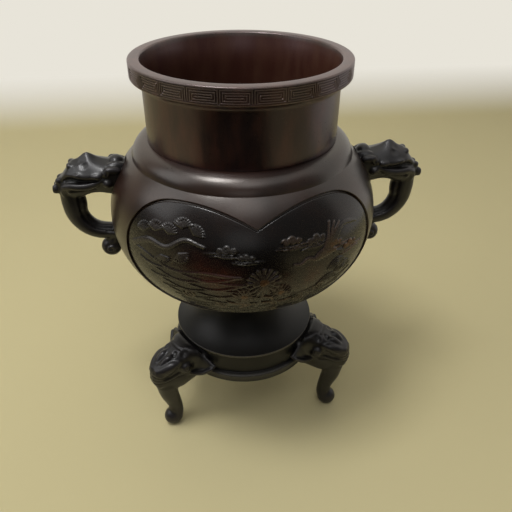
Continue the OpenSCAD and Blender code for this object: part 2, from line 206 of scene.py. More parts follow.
def arc(centre, radius, start, end, count):
    """Points of a circle's arc, by angles in degrees."""
    turn = np.radians(np.linspace(start, end, count))
    return np.asarray(centre, float) + radius * np.stack([np.cos(turn), np.sin(turn)], -1)


def rounded(before, corner, after, radius, count=EDGE_ROWS):
    """The arc that rounds a corner.

    Its centre lies on the bisector, at radius / sin(half the corner's angle) from the corner.
    """
    before, corner, after = (np.asarray(item, float) for item in (before, corner, after))
    back, on = before - corner, after - corner
    back, on = back / np.linalg.norm(back), on / np.linalg.norm(on)
    half = math.acos(np.clip(back @ on, -1, 1)) / 2
    middle = (back + on) / np.linalg.norm(back + on)
    centre = corner + middle * radius / math.sin(half)
    first, last = (corner + side * radius / math.tan(half) - centre for side in (back, on))
    a, b = (math.atan2(item[1], item[0]) for item in (first, last))
    b = a + (b - a + math.pi) % (2 * math.pi) - math.pi
    return arc(centre, radius, math.degrees(a), math.degrees(b), count)


def all_round(profile, turns):
    """The same profile at each turn."""
    profile = np.asarray(profile, float)
    return np.broadcast_to(profile[:, None], (len(profile), len(turns), 2))


def turned(profile, turns):
    """Surface of revolution: (R sin t, -R cos t, z) for a profile point (R, z) at turn t from the front."""
    r, z = profile[..., 0], profile[..., 1]
    return np.stack([r * np.sin(turns), -r * np.cos(turns), z], -1)


def quads(rows, columns, wrap_rows, wrap_columns):
    """Four-sided faces of a grid of points, closed round where a direction wraps."""
    last_row, last_column = rows - (not wrap_rows), columns - (not wrap_columns)
    i, j = np.meshgrid(np.arange(last_row), np.arange(last_column), indexing="ij")
    up, on = (i + 1) % rows, (j + 1) % columns
    corners = [i * columns + j, i * columns + on, up * columns + on, up * columns + j]
    return np.stack(corners, -1).reshape(-1, 4)


def mesh_of(name, points, faces, marks=None):
    """A mesh from points and four-sided faces, welded and facing outwards.

    For each mark, such as wear, it holds a number at each point.
    """
    mesh = bpy.data.meshes.new(name)
    mesh.vertices.add(len(points))
    mesh.vertices.foreach_set("co", np.asarray(points, np.float32).ravel())
    mesh.loops.add(faces.size)
    mesh.loops.foreach_set("vertex_index", faces.astype(np.int32).ravel())
    mesh.polygons.add(len(faces))
    mesh.polygons.foreach_set("loop_start", np.arange(0, faces.size, 4, dtype=np.int32))
    mesh.update(calc_edges=True)
    for mark, values in (marks or {}).items():
        layer = mesh.attributes.new(mark, "FLOAT", "POINT")
        layer.data.foreach_set("value", np.asarray(values, np.float32).ravel())
    work = bmesh.new()
    work.from_mesh(mesh)
    bmesh.ops.remove_doubles(work, verts=work.verts, dist=WELD)
    bmesh.ops.dissolve_degenerate(work, edges=work.edges, dist=WELD)
    bmesh.ops.recalc_face_normals(work, faces=work.faces)
    work.to_mesh(mesh)
    work.free()
    mesh.validate()
    return mesh


def grid_mesh(name, grid, wrap_rows, wrap_columns, marks=None):
    """The mesh of a grid of points, closed round where a direction wraps."""
    return mesh_of(name, grid.reshape(-1, 3), quads(*grid.shape[:2], wrap_rows, wrap_columns), marks)


def dress(name, mesh, material, body, nodes, sharp=40):
    """Puts a mesh in the scene as a piece that rides on a body and stands for its CAD nodes."""
    mesh.shade_smooth()
    mesh.set_sharp_from_angle(angle=math.radians(sharp))
    piece = bpy.data.objects.new(name, mesh)
    bpy.context.scene.collection.objects.link(piece)
    mesh.materials.append(material)
    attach(piece, body)
    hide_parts(*nodes)


def add(tree, kind, inputs=None, **settings):
    """Adds a node, sets its settings, and gives its inputs values or links."""
    made = tree.nodes.new(kind)
    for key, value in settings.items():
        setattr(made, key, value)
    for key, value in (inputs or {}).items():
        if isinstance(value, bpy.types.NodeSocket):
            tree.links.new(value, made.inputs[key])
        else:
            made.inputs[key].default_value = value
    return made


def bronze(name, dark, light, worn, gloss=(0.26, 0.36), glance=0.86, metal=0.1, mottle=45 * MM,
           inside=None, gilt=None, sheen=(1, 1, 1), draw=1.0):
    """Cast bronze under a waxed patina: a soft gloss over dark clouds.

    Clouds of thick and thin oxide give a mottle, drawn out upright where lacquer was brushed on that way.
    Rubbing bares the metal where the mark of wear and painted light is high, and on relief tops, balls and
    some edges that lighter metal is also a painted highlight. Where the mark is below zero it paints
    near-black shade into hollows and beside ridges. The grain of the mould, about 0.3 mm, is drawn at 0.9 mm
    so that it shows.
    """
    grain_size, pits = 0.9 * MM, 0.008 * MM
    # Near-black of the painted shade in hollows and beside relief ridges
    shade_black = linear("#0b0909")
    material = bpy.data.materials.new(name)
    material.use_nodes = True
    tree = material.node_tree
    place = add(tree, "ShaderNodeTexCoord").outputs["Object"]
    brushed = add(tree, "ShaderNodeMapping", {"Vector": place, "Scale": (1, 1, 1 / draw)}).outputs["Vector"]
    clouds = add(tree, "ShaderNodeTexNoise", {
        "Vector": brushed, "Scale": 1 / mottle, "Detail": 4.0, "Roughness": 0.55}).outputs["Fac"]
    grain = add(tree, "ShaderNodeTexNoise", {
        "Vector": place, "Scale": 1 / grain_size, "Detail": 3.0, "Roughness": 0.6}).outputs["Fac"]
    wear_and_painted_light = add(tree, "ShaderNodeAttribute", attribute_name="wear_and_painted_light").outputs["Fac"]
    thin = add(tree, "ShaderNodeMapRange", {
        "Value": clouds, "From Min": 0.34, "From Max": 0.7},
        interpolation_type="SMOOTHSTEP").outputs["Result"]
    patchy = add(tree, "ShaderNodeMapRange", {
        "Value": grain, "From Min": 0.3, "From Max": 0.62, "To Min": 0.45},
        interpolation_type="SMOOTHSTEP").outputs["Result"]
    # Bare metal where the mark is high; on relief tops, balls and some edges it is also a painted highlight
    bare_and_highlight = add(tree, "ShaderNodeMath", {
        0: wear_and_painted_light, 1: patchy}, operation="MULTIPLY", use_clamp=True).outputs[0]
    # Painted shade: where the mark is below zero, hollows and the ground beside ridges darken towards near
    # black
    hollow_shade = add(tree, "ShaderNodeMapRange", {
        "Value": wear_and_painted_light, "From Min": -0.5, "From Max": 0.0, "To Min": 0.75, "To Max": 0.0}).outputs["Result"]
    tone = add(tree, "ShaderNodeMix", {
        "Factor": thin, 6: (*dark, 1), 7: (*light, 1)}, data_type="RGBA").outputs[2]
    # Layers over the patina, from the lowest: how much of each shows, and its colour
    layers = [(bare_and_highlight, (*worn, 1))]
    if inside is not None:
        inner = add(tree, "ShaderNodeAttribute", attribute_name="inner").outputs["Fac"]
        rust = add(tree, "ShaderNodeMix", {
            "Factor": thin, 6: (*light, 1), 7: (*inside, 1)}, data_type="RGBA").outputs[2]
        layers.insert(0, (inner, rust))
    if gilt is not None:
        gold = add(tree, "ShaderNodeAttribute", attribute_name="gilt").outputs["Fac"]
        shown = add(tree, "ShaderNodeMath", {
            0: gold, 1: patchy}, operation="MULTIPLY", use_clamp=True).outputs[0]
        layers.append((shown, (*gilt, 1)))
    layers.append((hollow_shade, (*shade_black, 1)))
    for share, over in layers:
        tone = add(tree, "ShaderNodeMix", {"Factor": share, 6: tone, 7: over}, data_type="RGBA").outputs[2]
    shine = add(tree, "ShaderNodeMapRange", {
        "Value": grain, "From Min": 0.25, "From Max": 0.75,
        "To Min": gloss[0], "To Max": gloss[1]}).outputs["Result"]
    metallic = add(tree, "ShaderNodeMapRange", {
        "Value": bare_and_highlight, "To Min": metal, "To Max": 0.7}).outputs["Result"]
    relief = add(tree, "ShaderNodeBump", {
        "Height": grain, "Strength": 1.0, "Distance": pits}).outputs["Normal"]
    shader = tree.nodes["Principled BSDF"]
    shader.inputs["Specular IOR Level"].default_value = glance
    shader.inputs["Specular Tint"].default_value = (*sheen, 1)
    for socket, value in (
            ("Base Color", tone), ("Roughness", shine), ("Metallic", metallic), ("Normal", relief)):
        tree.links.new(value, shader.inputs[socket])
    return material


def key_fret(width, height):
    """Cells of one key of a fret: a line one cell wide that winds inwards, one cell between its turns."""
    cells = np.zeros((height, width), bool)
    left, right, low, top = 0, width - 1, 0, height - 1
    cells[:, 0] = True
    while right - left > 1 and top - low > 1:
        cells[top, left:right + 1] = True
        cells[low:top + 1, right] = True
        left += 2
        cells[low, left:right + 1] = True
        low += 2
        right -= 2
        top -= 2
        cells[low - 2:top + 1, left] = True
    return cells


class VASE_OT_neck(bpy.types.Operator):
    """Neck and rim: a turned tube with a key fret sunk into the face of its band"""
    bl_idname = "vase.neck"
    bl_label = "Neck and rim"

    def execute(self, context):
        size, tint = context.scene.vase_sizes, context.scene.vase_colours
        low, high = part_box("neck")
        seam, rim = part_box("body")[1].z, high.z
        band = rim - size.band_h
        units, key_w, key_h, bevel = 24, 25, 11, 0.16
        cell = 2 * math.pi / (units * (key_w + 1))
        key = key_fret(key_w, key_h)
        gap = np.zeros((key_h, 1), bool)
        cells = np.concatenate([np.concatenate([key, gap, key[:, ::-1], gap], 1)] * (units // 2), 1)

        def edges(count):
            """Both edges of each of a row of cells, drawn in by the bevel."""
            return np.stack([np.arange(count) + bevel, np.arange(count) + 1 - bevel], -1).ravel()

        turns = edges(cells.shape[1]) * cell
        pitch = cell * size.rim_r
        fret_low = (band + rim - key_h * pitch) / 2
        rows = fret_low + pitch * edges(key_h)
        fret_top = rows[-1] + 2 * bevel * pitch
        sunk = np.repeat(np.repeat(~cells, 2, 0), 2, 1) * size.fret_lift
        out, ground = size.rim_r, size.rim_r - size.fret_lift
        below = np.concatenate([
            rounded((size.spigot_r, seam), (size.neck_r, seam), (size.neck_r, band), 0.6 * MM),
            [(size.neck_r, seam + (band - seam) * share) for share in (0.2, 0.4, 0.6)],
            arc((size.neck_r + size.cove_r, band - size.cove_r), size.cove_r, 180, 92, 12),
            rounded((size.neck_r, band), (out, band), (out, rim), size.band_edge),
            [(out, fret_low - 0.3 * MM), (ground, fret_low - 0.02 * MM)],
        ])
        above = np.concatenate([
            [(ground, fret_top), (out, fret_top + 0.28 * MM)],
            rounded((out, band), (out, rim), (size.mouth_r, rim), size.band_edge),
            rounded((out, rim), (size.mouth_r, rim), (size.bore_r, rim - size.mouth_h), 1.6 * MM),
        ])
        inner = np.concatenate([
            arc((size.bore_r + size.mouth_arc, rim - size.mouth_h), size.mouth_arc, 166, 180, 8),
            [(size.bore_r, seam), (size.bore_r, low.z), (size.spigot_r, low.z), (size.spigot_r, seam)],
        ])
        face = np.stack([out - sunk, np.broadcast_to(rows[:, None], sunk.shape)], -1)
        below, above, inner = (all_round(part, turns) for part in (below, above, inner))
        profile = np.concatenate([below, face, above, inner])
        # The fret, the band's lower edge and the rim are rubbed
        start, end = len(below), len(below) + len(rows)
        wear_and_painted_light, inside = np.zeros(profile.shape[:2]), np.zeros(profile.shape[:2])
        wear_and_painted_light[start:end] = (sunk == 0) * 0.5
        wear_and_painted_light[start - 2 - EDGE_ROWS:start - 2] = 0.35
        wear_and_painted_light[end + 2:end + 2 + 2 * EDGE_ROWS] = 0.45
        inside[end + len(above):] = 1
        mesh = grid_mesh("neck_skin", turned(profile, turns), True, True, {"wear_and_painted_light": wear_and_painted_light, "inner": inside})
        # Lacquer brushed on upright: red-brown streaks under a plum sheen
        skin = bronze("brown_patinated_bronze_neck", tint.body_dark, tint.neck_light, tint.rim_worn,
                      mottle=13 * MM, inside=tint.inside, sheen=(1, 0.86, 0.96), draw=4.0)
        dress("neck_skin", mesh, skin, "vase", ["neck"])
        return {"FINISHED"}


def heart_edge(size, inset):
    """Edge of the heart on the belly, as turn round the vase against angle on the section.

    In the plane that a lobe faces, with u sideways and z up, it is an arc from the notch, the lobe's circle
    and a straight side to the tip. A point (u, z) lies on the belly at angle asin(z / B) and at turn
    lobe_turn + asin(u / R), with R = C + B cos(angle). Returns the farthest turn, and the upper and the lower
    edge as functions of the turn.
    """
    c, b, lean_turn = size.belly_c, size.belly_r, size.lobe_turn

    def on_belly(at):
        """The front of the belly at an angle on the section, seen in the lobe's plane."""
        return np.array([-(c + b * math.cos(at)) * math.sin(lean_turn), b * math.sin(at)])

    def bearing(start, end):
        """Direction from one point to another."""
        return math.atan2(end[1] - start[1], end[0] - start[0])

    lobe, r = np.array([size.lobe_side, size.lobe_rise]), size.lobe_r - inset
    notch, tip = on_belly(size.notch) - [0, inset], on_belly(size.tip) + [0, inset]
    low = bearing(lobe, tip) + math.acos(r / np.linalg.norm(tip - lobe))
    long_r, spread = size.long_arc_r - inset, np.linalg.norm(notch - lobe)
    lean = math.acos((long_r**2 - (long_r - r)**2 - spread**2) / (2 * (long_r - r) * spread))
    touch = bearing(lobe, notch) - lean
    centre = lobe + (r - long_r) * np.array([math.cos(touch), math.sin(touch)])
    side = lobe + r * np.array([math.cos(low), math.sin(low)])
    outline = np.concatenate([
        arc(centre, long_r, math.degrees(bearing(centre, notch)), math.degrees(touch), 80),
        arc(lobe, r, math.degrees(touch), math.degrees(low), 400),
        side + (tip - side) * np.linspace(0, 1, 120)[:, None],
    ])
    section = np.arcsin(outline[:, 1] / b)
    turn = lean_turn + np.arcsin(outline[:, 0] / (c + b * np.cos(section)))
    far = int(np.argmax(turn))

    def upper(at):
        """Angle on the section of the upper edge at a turn."""
        return np.interp(np.abs(at), turn[:far + 1], section[:far + 1])

    def lower(at):
        """Angle on the section of the lower edge at a turn."""
        return np.interp(np.abs(at), turn[far:][::-1], section[far:][::-1])

    return turn[far], upper, lower


class VASE_OT_body(bpy.types.Operator):
    """Belly and rolled shoulder: a round section carried round the axis, with a heart-shaped pocket a face"""
    bl_idname = "vase.body"
    bl_label = "Belly and shoulder"

    def execute(self, context):
        size, tint = context.scene.vase_sizes, context.scene.vase_colours
        low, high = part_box("body")
        seam = high.z
        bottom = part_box("foot")[1].z
        c, b = size.belly_c, size.belly_r
        middle = bottom + b
        # Turns crowd at the sides of the hearts, where their edges run upright
        far, upper, lower = heart_edge(size, 0)
        heart = far * np.sin(np.linspace(-0.5, 0.5, 165) * math.pi)
        between = np.linspace(far, math.pi - far, 52)[1:-1]
        turns = np.concatenate([heart, between, heart + math.pi, between + math.pi])
        facing = np.tile(np.concatenate([heart, np.full(len(between), far)]), 2)
        up, down = upper(facing), lower(facing)
        # The pocket closes where it is less than 3 mm high
        openness = np.clip((up - down) * b / (3 * MM), 0, 1)
        # The roll's circle cuts the belly's circle at the crease under the shoulder
        roll = np.array([size.roll_c - c, seam - size.roll_r - middle])
        gap = np.linalg.norm(roll)
        crease = math.atan2(roll[1], roll[0]) - math.acos((gap**2 + b**2 - size.roll_r**2) / (2 * gap * b))
        meet = np.array([c + b * math.cos(crease), middle + b * math.sin(crease)])
        roll_start = math.degrees(math.atan2(meet[1] - (seam - size.roll_r), meet[0] - size.roll_c))

        def on_section(at, depth):
            """The profile point at an angle on the belly's section, at a depth below its skin."""
            return np.stack([c + (b - depth) * np.cos(at), middle + (b - depth) * np.sin(at)], -1)

        share = np.linspace(0, 1, 46)[:, None]
        edge, lip = 0.35 * MM / b * openness, 0.25 * MM * openness
        base = -math.pi / 2
        lower_rows = on_section(base + (down - edge - base) * share, 0)
        upper_rows = on_section(up + edge + (crease - up - edge) * share, 0)
        deep = size.pocket * openness
        pocket_rows = np.stack(
            [on_section(down, lip)]
            + [on_section(down + (up - down) * part, deep) for part in (0, 0.04, 0.25, 0.5, 0.75, 0.96, 1)]
            + [on_section(up, lip)])
        wall = b - size.body_wall
        collar = math.acos((size.collar_r - c) / wall)
        under = [(size.drain_r, low.z), (size.socket_r, low.z), (size.socket_r, bottom)]
        shoulder = np.concatenate([
            arc((size.roll_c, seam - size.roll_r), size.roll_r, roll_start + 2, 90, 26),
            [(size.collar_r, seam)]])
        # The bottom plate lies in a seat in the floor
        plate_low, plate_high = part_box("bottom_plate")
        seat_r = plate_high.x + 0.1 * MM
        hollow = np.concatenate([
            arc((c, middle), wall, math.degrees(collar), -90, 40),
            [(seat_r, middle - wall), (seat_r, plate_low.z), (size.drain_r, plate_low.z)]])
        under, shoulder, hollow = (all_round(part, turns) for part in (under, shoulder, hollow))
        profile = np.concatenate([under, lower_rows, pocket_rows, upper_rows, shoulder, hollow])
        inside = np.zeros(profile.shape[:2])
        inside[-len(hollow):] = 1
        mesh = grid_mesh("body_skin", turned(profile, turns), True, True, {"inner": inside})
        # Chocolate patina in wide clouds, with a warm gloss
        skin = bronze("brown_patinated_bronze_body", tint.body_dark, tint.body_light, tint.rim_worn,
                      inside=tint.inside, sheen=(1, 0.95, 0.9))
        dress("body_skin", mesh, skin, "vase", ["body"])
        return {"FINISHED"}


def scroll(centre, radius, start, turns, grow=0.12, count=40):
    """A curl: points of a spiral from its outside to its middle, in degrees and turns."""
    share = np.linspace(0, 1, count)
    at = math.radians(start) + share * turns * 2 * math.pi
    r = radius * (1 - (1 - grow) * share)
    return np.asarray(centre, float) + np.stack([r * np.cos(at), r * np.sin(at)], -1)


def cloud(a, b, s, side, gold):
    """A traditional cloud scroll with three curls and two trailing lines, s mm large.

    A stroke of the relief is its path, its half width, its height and how far it is gilt.
    """
    strokes = [
        (scroll((a, b), 0.55 * s, 200, side * 1.6), 0.17 * s, 1.0, gold),
        (scroll((a + side * 0.95 * s, b - 0.12 * s), 0.42 * s, 160, side * 1.5), 0.14 * s, 0.9, gold),
        (scroll((a - side * 0.85 * s, b - 0.18 * s), 0.38 * s, 20, -side * 1.5), 0.14 * s, 0.9, gold),
    ]
    for k in (0, 1):
        line = [(a - side * (2.9 - 0.7 * k) * s, b - (0.75 + 0.35 * k) * s),
                (a - side * 1.4 * s, b - (0.62 + 0.3 * k) * s),
                (a, b - (0.78 + 0.28 * k) * s),
                (a + side * (1.7 + 0.5 * k) * s, b - (0.6 + 0.3 * k) * s)]
        width = 0.12 * s * np.sin(np.linspace(0.25, math.pi - 0.1, 24))
        strokes.append((smooth_path(line, 24), width, 0.7, gold))
    return strokes


def panel_strokes():
    """Strokes of the relief, in mm round the belly (a) and along its section (b)."""
    strokes = []
    # Lines of water at the left and the right, with curls and scales of waves
    for k in range(17):
        a = np.linspace(-98 + 4.6 * k, -14 + 2.2 * k, 60)
        b = 4 - 3.9 * k - 0.2 * (a + 90) + 1.7 * np.sin((a + 23 * k) / 8) + 0.0022 * (a + 90)**2
        strokes.append((np.stack([a, b], -1), 0.95 + 0.25 * np.sin(a / 6 + 2 * k), 0.62, 0.0))
    for k in range(7):
        a = np.linspace(20 + 3 * k, 84 - 5 * k, 40)
        b = -22 - 5 * k + 2.0 * np.sin((a + 17 * k) / 7) + 0.002 * (a - 40)**2
        strokes.append((np.stack([a, b], -1), 0.95 + 0.25 * np.sin(a / 7 + k), 0.6, 0.0))
    for k, (a, b) in enumerate([(-52, -22), (-28, -34), (34, -30), (14, -44), (50, -22)]):
        strokes.append((scroll((a, b), 5, 180, -1.7 if k % 2 else 1.7), 1.1, 0.95, 0.15))
    for a, b in [(58, -16), (72, -10), (64, -4)]:
        for r in (3, 5, 7, 9):
            strokes.append((arc((a, b - 6), r, 15, 165, 18), 0.8, 0.8, 0.0))
    # Clouds below the notch and on the right lobe
    for a, b, large, side, gold in [(-22, 21, 5.6, 1, 0.0), (-8, 15, 4.4, -1, 0.0), (25, 24, 5.6, -1, 0.2),
                                    (44, 22, 6, 1, 0.1), (78, 6, 5.6, -1, 0.9), (62, 13, 4.6, -1, 0.7)]:
        strokes += cloud(a, b, large, side, gold)
    # Pine bough on the left lobe, with fans of needles
    bough = smooth_path([(-100, 8), (-84, 16), (-68, 15), (-52, 24), (-38, 21)], 40)
    strokes.append((bough, np.linspace(2.6, 1.0, 40), 1.0, 0.0))
    for a, b, lean in [(-90, 21, 110), (-79, 25, 95), (-67, 26, 80), (-56, 32, 95), (-46, 29, 60),
                       (-72, 8, -70), (-57, 13, -50)]:
        for spread in np.linspace(-66, 66, 9):
            t = math.radians(lean + spread)
            needle = np.array([(a, b), (a + 7.5 * math.cos(t), b + 6.5 * math.sin(t))])
            strokes.append((needle, 0.7, 0.8, 0.0))
    # Chrysanthemums on their stems in the middle
    for x, y, grow in [(4, -6, 1.0), (-10, -20, 0.75), (17, -18, 0.7)]:
        for r, petals, lift in [(11, 16, 0.8), (7, 12, 1.0)]:
            for k in range(petals):
                t = 2 * math.pi * (k + 0.5 * (r < 10)) / petals
                ray = np.array([(3, 3), (r, r)]) * [math.cos(t), math.sin(t)] * grow + [x, y]
                strokes.append((ray, np.array([0.8, 1.5 * r / 11]) * grow, lift, 0.1))
        strokes.append((scroll((x, y), 2.4 * grow, 0, 1.2, 0.3), 1.4 * grow, 1.1, 0.8))
    for stem in ([(4, -16), (2, -26), (-3, -40)], [(-10, -27), (-7, -35), (-3, -44)],
                 [(17, -25), (10, -34), (2, -42)]):
        strokes.append((smooth_path(stem, 20), 1.1, 0.9, 0.0))
    for leaf in ([(3, -20), (9, -22), (13, -28)], [(-2, -30), (-10, -33), (-15, -39)],
                 [(3, -28), (11, -30), (15, -37)], [(-8, -30), (-18, -29), (-24, -25)],
                 [(14, -29), (22, -30), (28, -26)]):
        strokes.append((smooth_path(leaf, 16), 2.0 * np.sin(np.linspace(0.3, math.pi - 0.1, 16)), 0.9, 0.3))
    # Crane in flight on the right lobe: body, neck, feathers of the wing and legs
    trunk, neck = [(42, 6), (52, 9), (61, 8)], [(42, 6), (36, 8), (31, 5), (26, 6)]
    strokes.append((smooth_path(trunk, 20), 4.2 * np.sin(np.linspace(0.4, 2.8, 20)), 1.15, 0.2))
    strokes.append((smooth_path(neck, 20), np.linspace(1.8, 0.8, 20), 1.0, 0.2))
    for k in range(7):
        feather = [(50 + 1.2 * k, 10), (55 + 3.2 * k, 20 + 0.8 * k), (58 + 5 * k, 30 - 1.6 * k)]
        strokes.append((smooth_path(feather, 14), np.linspace(1.7, 0.9, 14), 0.95, 0.25 if k < 3 else 0.0))
    for k in range(3):
        leg = [(60, 7 - k), (70, 5 - 1.5 * k), (79, 7 - 2 * k)]
        strokes.append((smooth_path(leg, 12), 0.8, 0.8, 0.0))
    return strokes


def raise_strokes(a, b, strokes):
    """Height of the relief in mm and its gilding: each stroke is a round ridge along its path."""
    height, gilt = np.zeros(a.shape), np.zeros(a.shape)
    for path, width, lift, gold in strokes:
        width = np.broadcast_to(np.maximum(width, 0.25), len(path))
        reach = width.max()
        near = ((a > path[:, 0].min() - reach) & (a < path[:, 0].max() + reach)
                & (b > path[:, 1].min() - reach) & (b < path[:, 1].max() + reach))
        at = np.stack([a[near], b[near]], -1)[:, None]
        start, run = path[:-1], np.diff(path, axis=0)
        t = np.clip(((at - start) * run).sum(-1) / np.maximum((run**2).sum(-1), 1e-9), 0, 1)
        off = np.linalg.norm(at - start - t[..., None] * run, axis=-1) / (width[:-1] + t * np.diff(width))
        ridge = lift * np.sqrt(np.clip(1 - off.min(1)**2, 0, 1))
        height[near] = np.maximum(height[near], ridge)
        gilt[near] = np.maximum(gilt[near], gold * (ridge > 0.4 * lift))
    return height, gilt


class VASE_OT_panels(bpy.types.Operator):
    """Relief panels: heart-shaped sheets on the belly, raised along the strokes of a traditional picture"""
    bl_idname = "vase.panels"
    bl_label = "Relief panels"

    def execute(self, context):
        size, tint = context.scene.vase_sizes, context.scene.vase_colours
        c, b = size.belly_c, size.belly_r
        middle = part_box("foot")[1].z + b
        far, upper, lower = heart_edge(size, size.groove)
        turns = far * np.sin(np.linspace(-0.5, 0.5, 421) * math.pi)
        up, down = upper(turns), lower(turns)
        share = np.linspace(0, 1, 200)[:, None]
        section = down + (up - down) * share
        a, along = turns * (c + b) / MM * np.ones_like(share), section * b / MM
        height, gilt = raise_strokes(a, along, panel_strokes())
        # The relief fades out over the last 4 mm, and the edge is rounded off over the last 0.8 mm
        margin = np.minimum(share, 1 - share) * (up - down) * b / MM
        height = height * np.clip(margin / 4, 0, 1)
        edge = 0.5 * (1 - np.clip(margin / 0.8, 0, 1))**2
        lift = (height - edge) * MM - size.panel_sink
        # The back follows the pocket's floor, with as many rows as keep it off that floor
        behind = down + (up - down) * np.linspace(1, 0, 20)[:, None]
        back = np.full(behind.shape, -size.pocket + 0.1 * MM)
        r = b + np.concatenate([lift, back])
        at = np.concatenate([section, behind])
        profile = np.stack([c + r * np.cos(at), middle + r * np.sin(at)], -1)
        zero = np.zeros(behind.shape)
        # Tops are rubbed, partly a painted highlight; painted shade lies beside the ridges, where the blurred
        # height stands above a point's own; and the middle of each lobe is rust brown
        around = sum(np.roll(height, (i, j), (0, 1)) for i in (-3, 0, 3) for j in (-3, 0, 3)) / 9
        wear_and_painted_light = np.clip(height - 0.3, 0, 1) - 0.9 * np.clip(around - height, 0, 0.5)
        rust = np.exp(-((np.abs(a) - 32) / 20)**2 - ((along + 2) / 13)**2)
        marks = {"wear_and_painted_light": wear_and_painted_light, "gilt": gilt, "inner": rust}
        marks = {key: np.concatenate([mark, zero]) for key, mark in marks.items()}
        # Charcoal patina rubbed grey on the tops, partly a painted highlight, with painted shade beside the
        # ridges and touches of gilding
        skin = bronze("charcoal_patinated_relief", tint.panel_dark, tint.panel_light, tint.panel_worn_and_highlight,
                      gloss=(0.22, 0.32), glance=0.5, inside=tint.panel_rust, gilt=tint.gilt)
        for name, about in (("panel_front", 0), ("panel_back", math.pi)):
            grid = np.clip(turned(profile, turns + about), *(list(corner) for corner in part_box(name)))
            mesh = grid_mesh(f"{name}_skin", grid, True, False, marks)
            dress(f"{name}_skin", mesh, skin, "vase", [name], 60)
        return {"FINISHED"}


class VASE_OT_foot(bpy.types.Operator):
    """Trumpet foot: a turned arc from the waist to a thin flared edge, hollow, with its locating skirt"""
    bl_idname = "vase.foot"
    bl_label = "Foot"

    def execute(self, context):
        size, tint = context.scene.vase_sizes, context.scene.vase_colours
        low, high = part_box("foot")
        stand, top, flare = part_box("stand_ring")[1].z, high.z, high.x
        waist, edge = top - size.waist_drop, stand + size.flare_t
        run, fall = flare - size.waist_r, waist - edge
        r = (run**2 + fall**2) / (2 * run)
        centre = (size.waist_r + r, waist)
        first = 180 - math.degrees(math.asin(size.waist_drop / r))
        last = 180 + math.degrees(math.asin(fall / r))
        inner_r = r + size.foot_wall
        skirt_in = size.skirt_r - size.skirt_wall
        inner_last = 180 + math.degrees(math.acos((centre[0] - skirt_in) / inner_r))
        sweep = arc(centre, r, first, last - 1.0, 60)
        profile = np.concatenate([
            [(size.socket_r + 0.1 * MM, top)],
            sweep,
            rounded((flare - 6 * MM, edge + 3 * MM), (flare, edge), (flare, stand), 0.7 * MM),
            rounded((flare, edge), (flare, stand), (size.skirt_r, stand), 0.7 * MM),
            [(size.skirt_r, stand), (size.skirt_r, low.z), (skirt_in, low.z)],
            arc(centre, inner_r, inner_last, 180, 30),
            [(size.socket_r + 0.1 * MM, waist)],
        ])
        turns = np.linspace(0, 2 * math.pi, 257)[:-1]
        grid = turned(all_round(profile, turns), turns)
        # The flared edge, below the sweep, is rubbed to bare metal, which also paints a highlight line along
        # it
        wear_and_painted_light = np.zeros(grid.shape[:2])
        wear_and_painted_light[len(sweep) + 2:len(sweep) + 2 * EDGE_ROWS] = 1
        mesh = grid_mesh("foot_skin", grid, True, True, {"wear_and_painted_light": wear_and_painted_light})
        # Black patina, duller than the body's
        skin = bronze("black_patinated_bronze_foot", tint.foot_dark, tint.foot_light, tint.foot_worn_and_highlight,
                      gloss=(0.36, 0.48), glance=0.33)
        dress("foot_skin", mesh, skin, "vase", ["foot"])
        return {"FINISHED"}


class VASE_OT_ring(bpy.types.Operator):
    """Stand ring: a turned wall with a rounded lip at its lower edge"""
    bl_idname = "vase.ring"
    bl_label = "Stand ring"

    def execute(self, context):
        size, tint = context.scene.vase_sizes, context.scene.vase_colours
        low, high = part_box("stand_ring")
        lip, wall, bore, ledge = high.x, size.wall_r, size.ring_bore, low.z + size.lip_h
        lip_rows = 9
        profile = np.concatenate([
            [(bore, low.z)],
            rounded((bore, low.z), (lip, low.z), (lip, ledge), size.lip_edge, lip_rows),
            rounded((lip, low.z), (lip, ledge), (wall, ledge), size.lip_edge, lip_rows),
            rounded((lip, ledge), (wall, ledge), (wall, high.z), 0.8 * MM),
            rounded((wall, ledge), (wall, high.z), (bore, high.z), 0.5 * MM),
            rounded((wall, high.z), (bore, high.z), (bore, low.z), 0.5 * MM),
        ])
        turns = np.linspace(0, 2 * math.pi, 257)[:-1]
        grid = turned(all_round(profile, turns), turns)
        # The upper edge of the lip is painted as bare metal, which paints a highlight line along it
        wear_and_painted_light = np.zeros(grid.shape[:2])
        wear_and_painted_light[1 + lip_rows:1 + 2 * lip_rows] = 0.6
        mesh = grid_mesh("stand_ring_skin", grid, True, True, {"wear_and_painted_light": wear_and_painted_light})
        # Black patina, the dullest, since hands seldom touch the ring
        skin = bronze("black_patinated_bronze_ring", tint.foot_dark, tint.foot_light, tint.foot_worn_and_highlight,
                      gloss=(0.4, 0.52), glance=0.4)
        dress("stand_ring_skin", mesh, skin, "stand", ["stand_ring"])
        return {"FINISHED"}


def lump(centre, radii, count=22):
    """An ellipsoid: centre + radii * (cos u cos v, cos u sin v, sin u)."""
    u = np.linspace(-0.5, 0.5, count)[:, None] * math.pi
    v = np.linspace(0, 2 * math.pi, 2 * count + 1)[None, :-1]
    unit = np.stack([np.cos(u) * np.cos(v), np.cos(u) * np.sin(v), np.sin(u) * np.ones_like(v)], -1)
    return np.asarray(centre, float) + np.asarray(radii, float) * unit


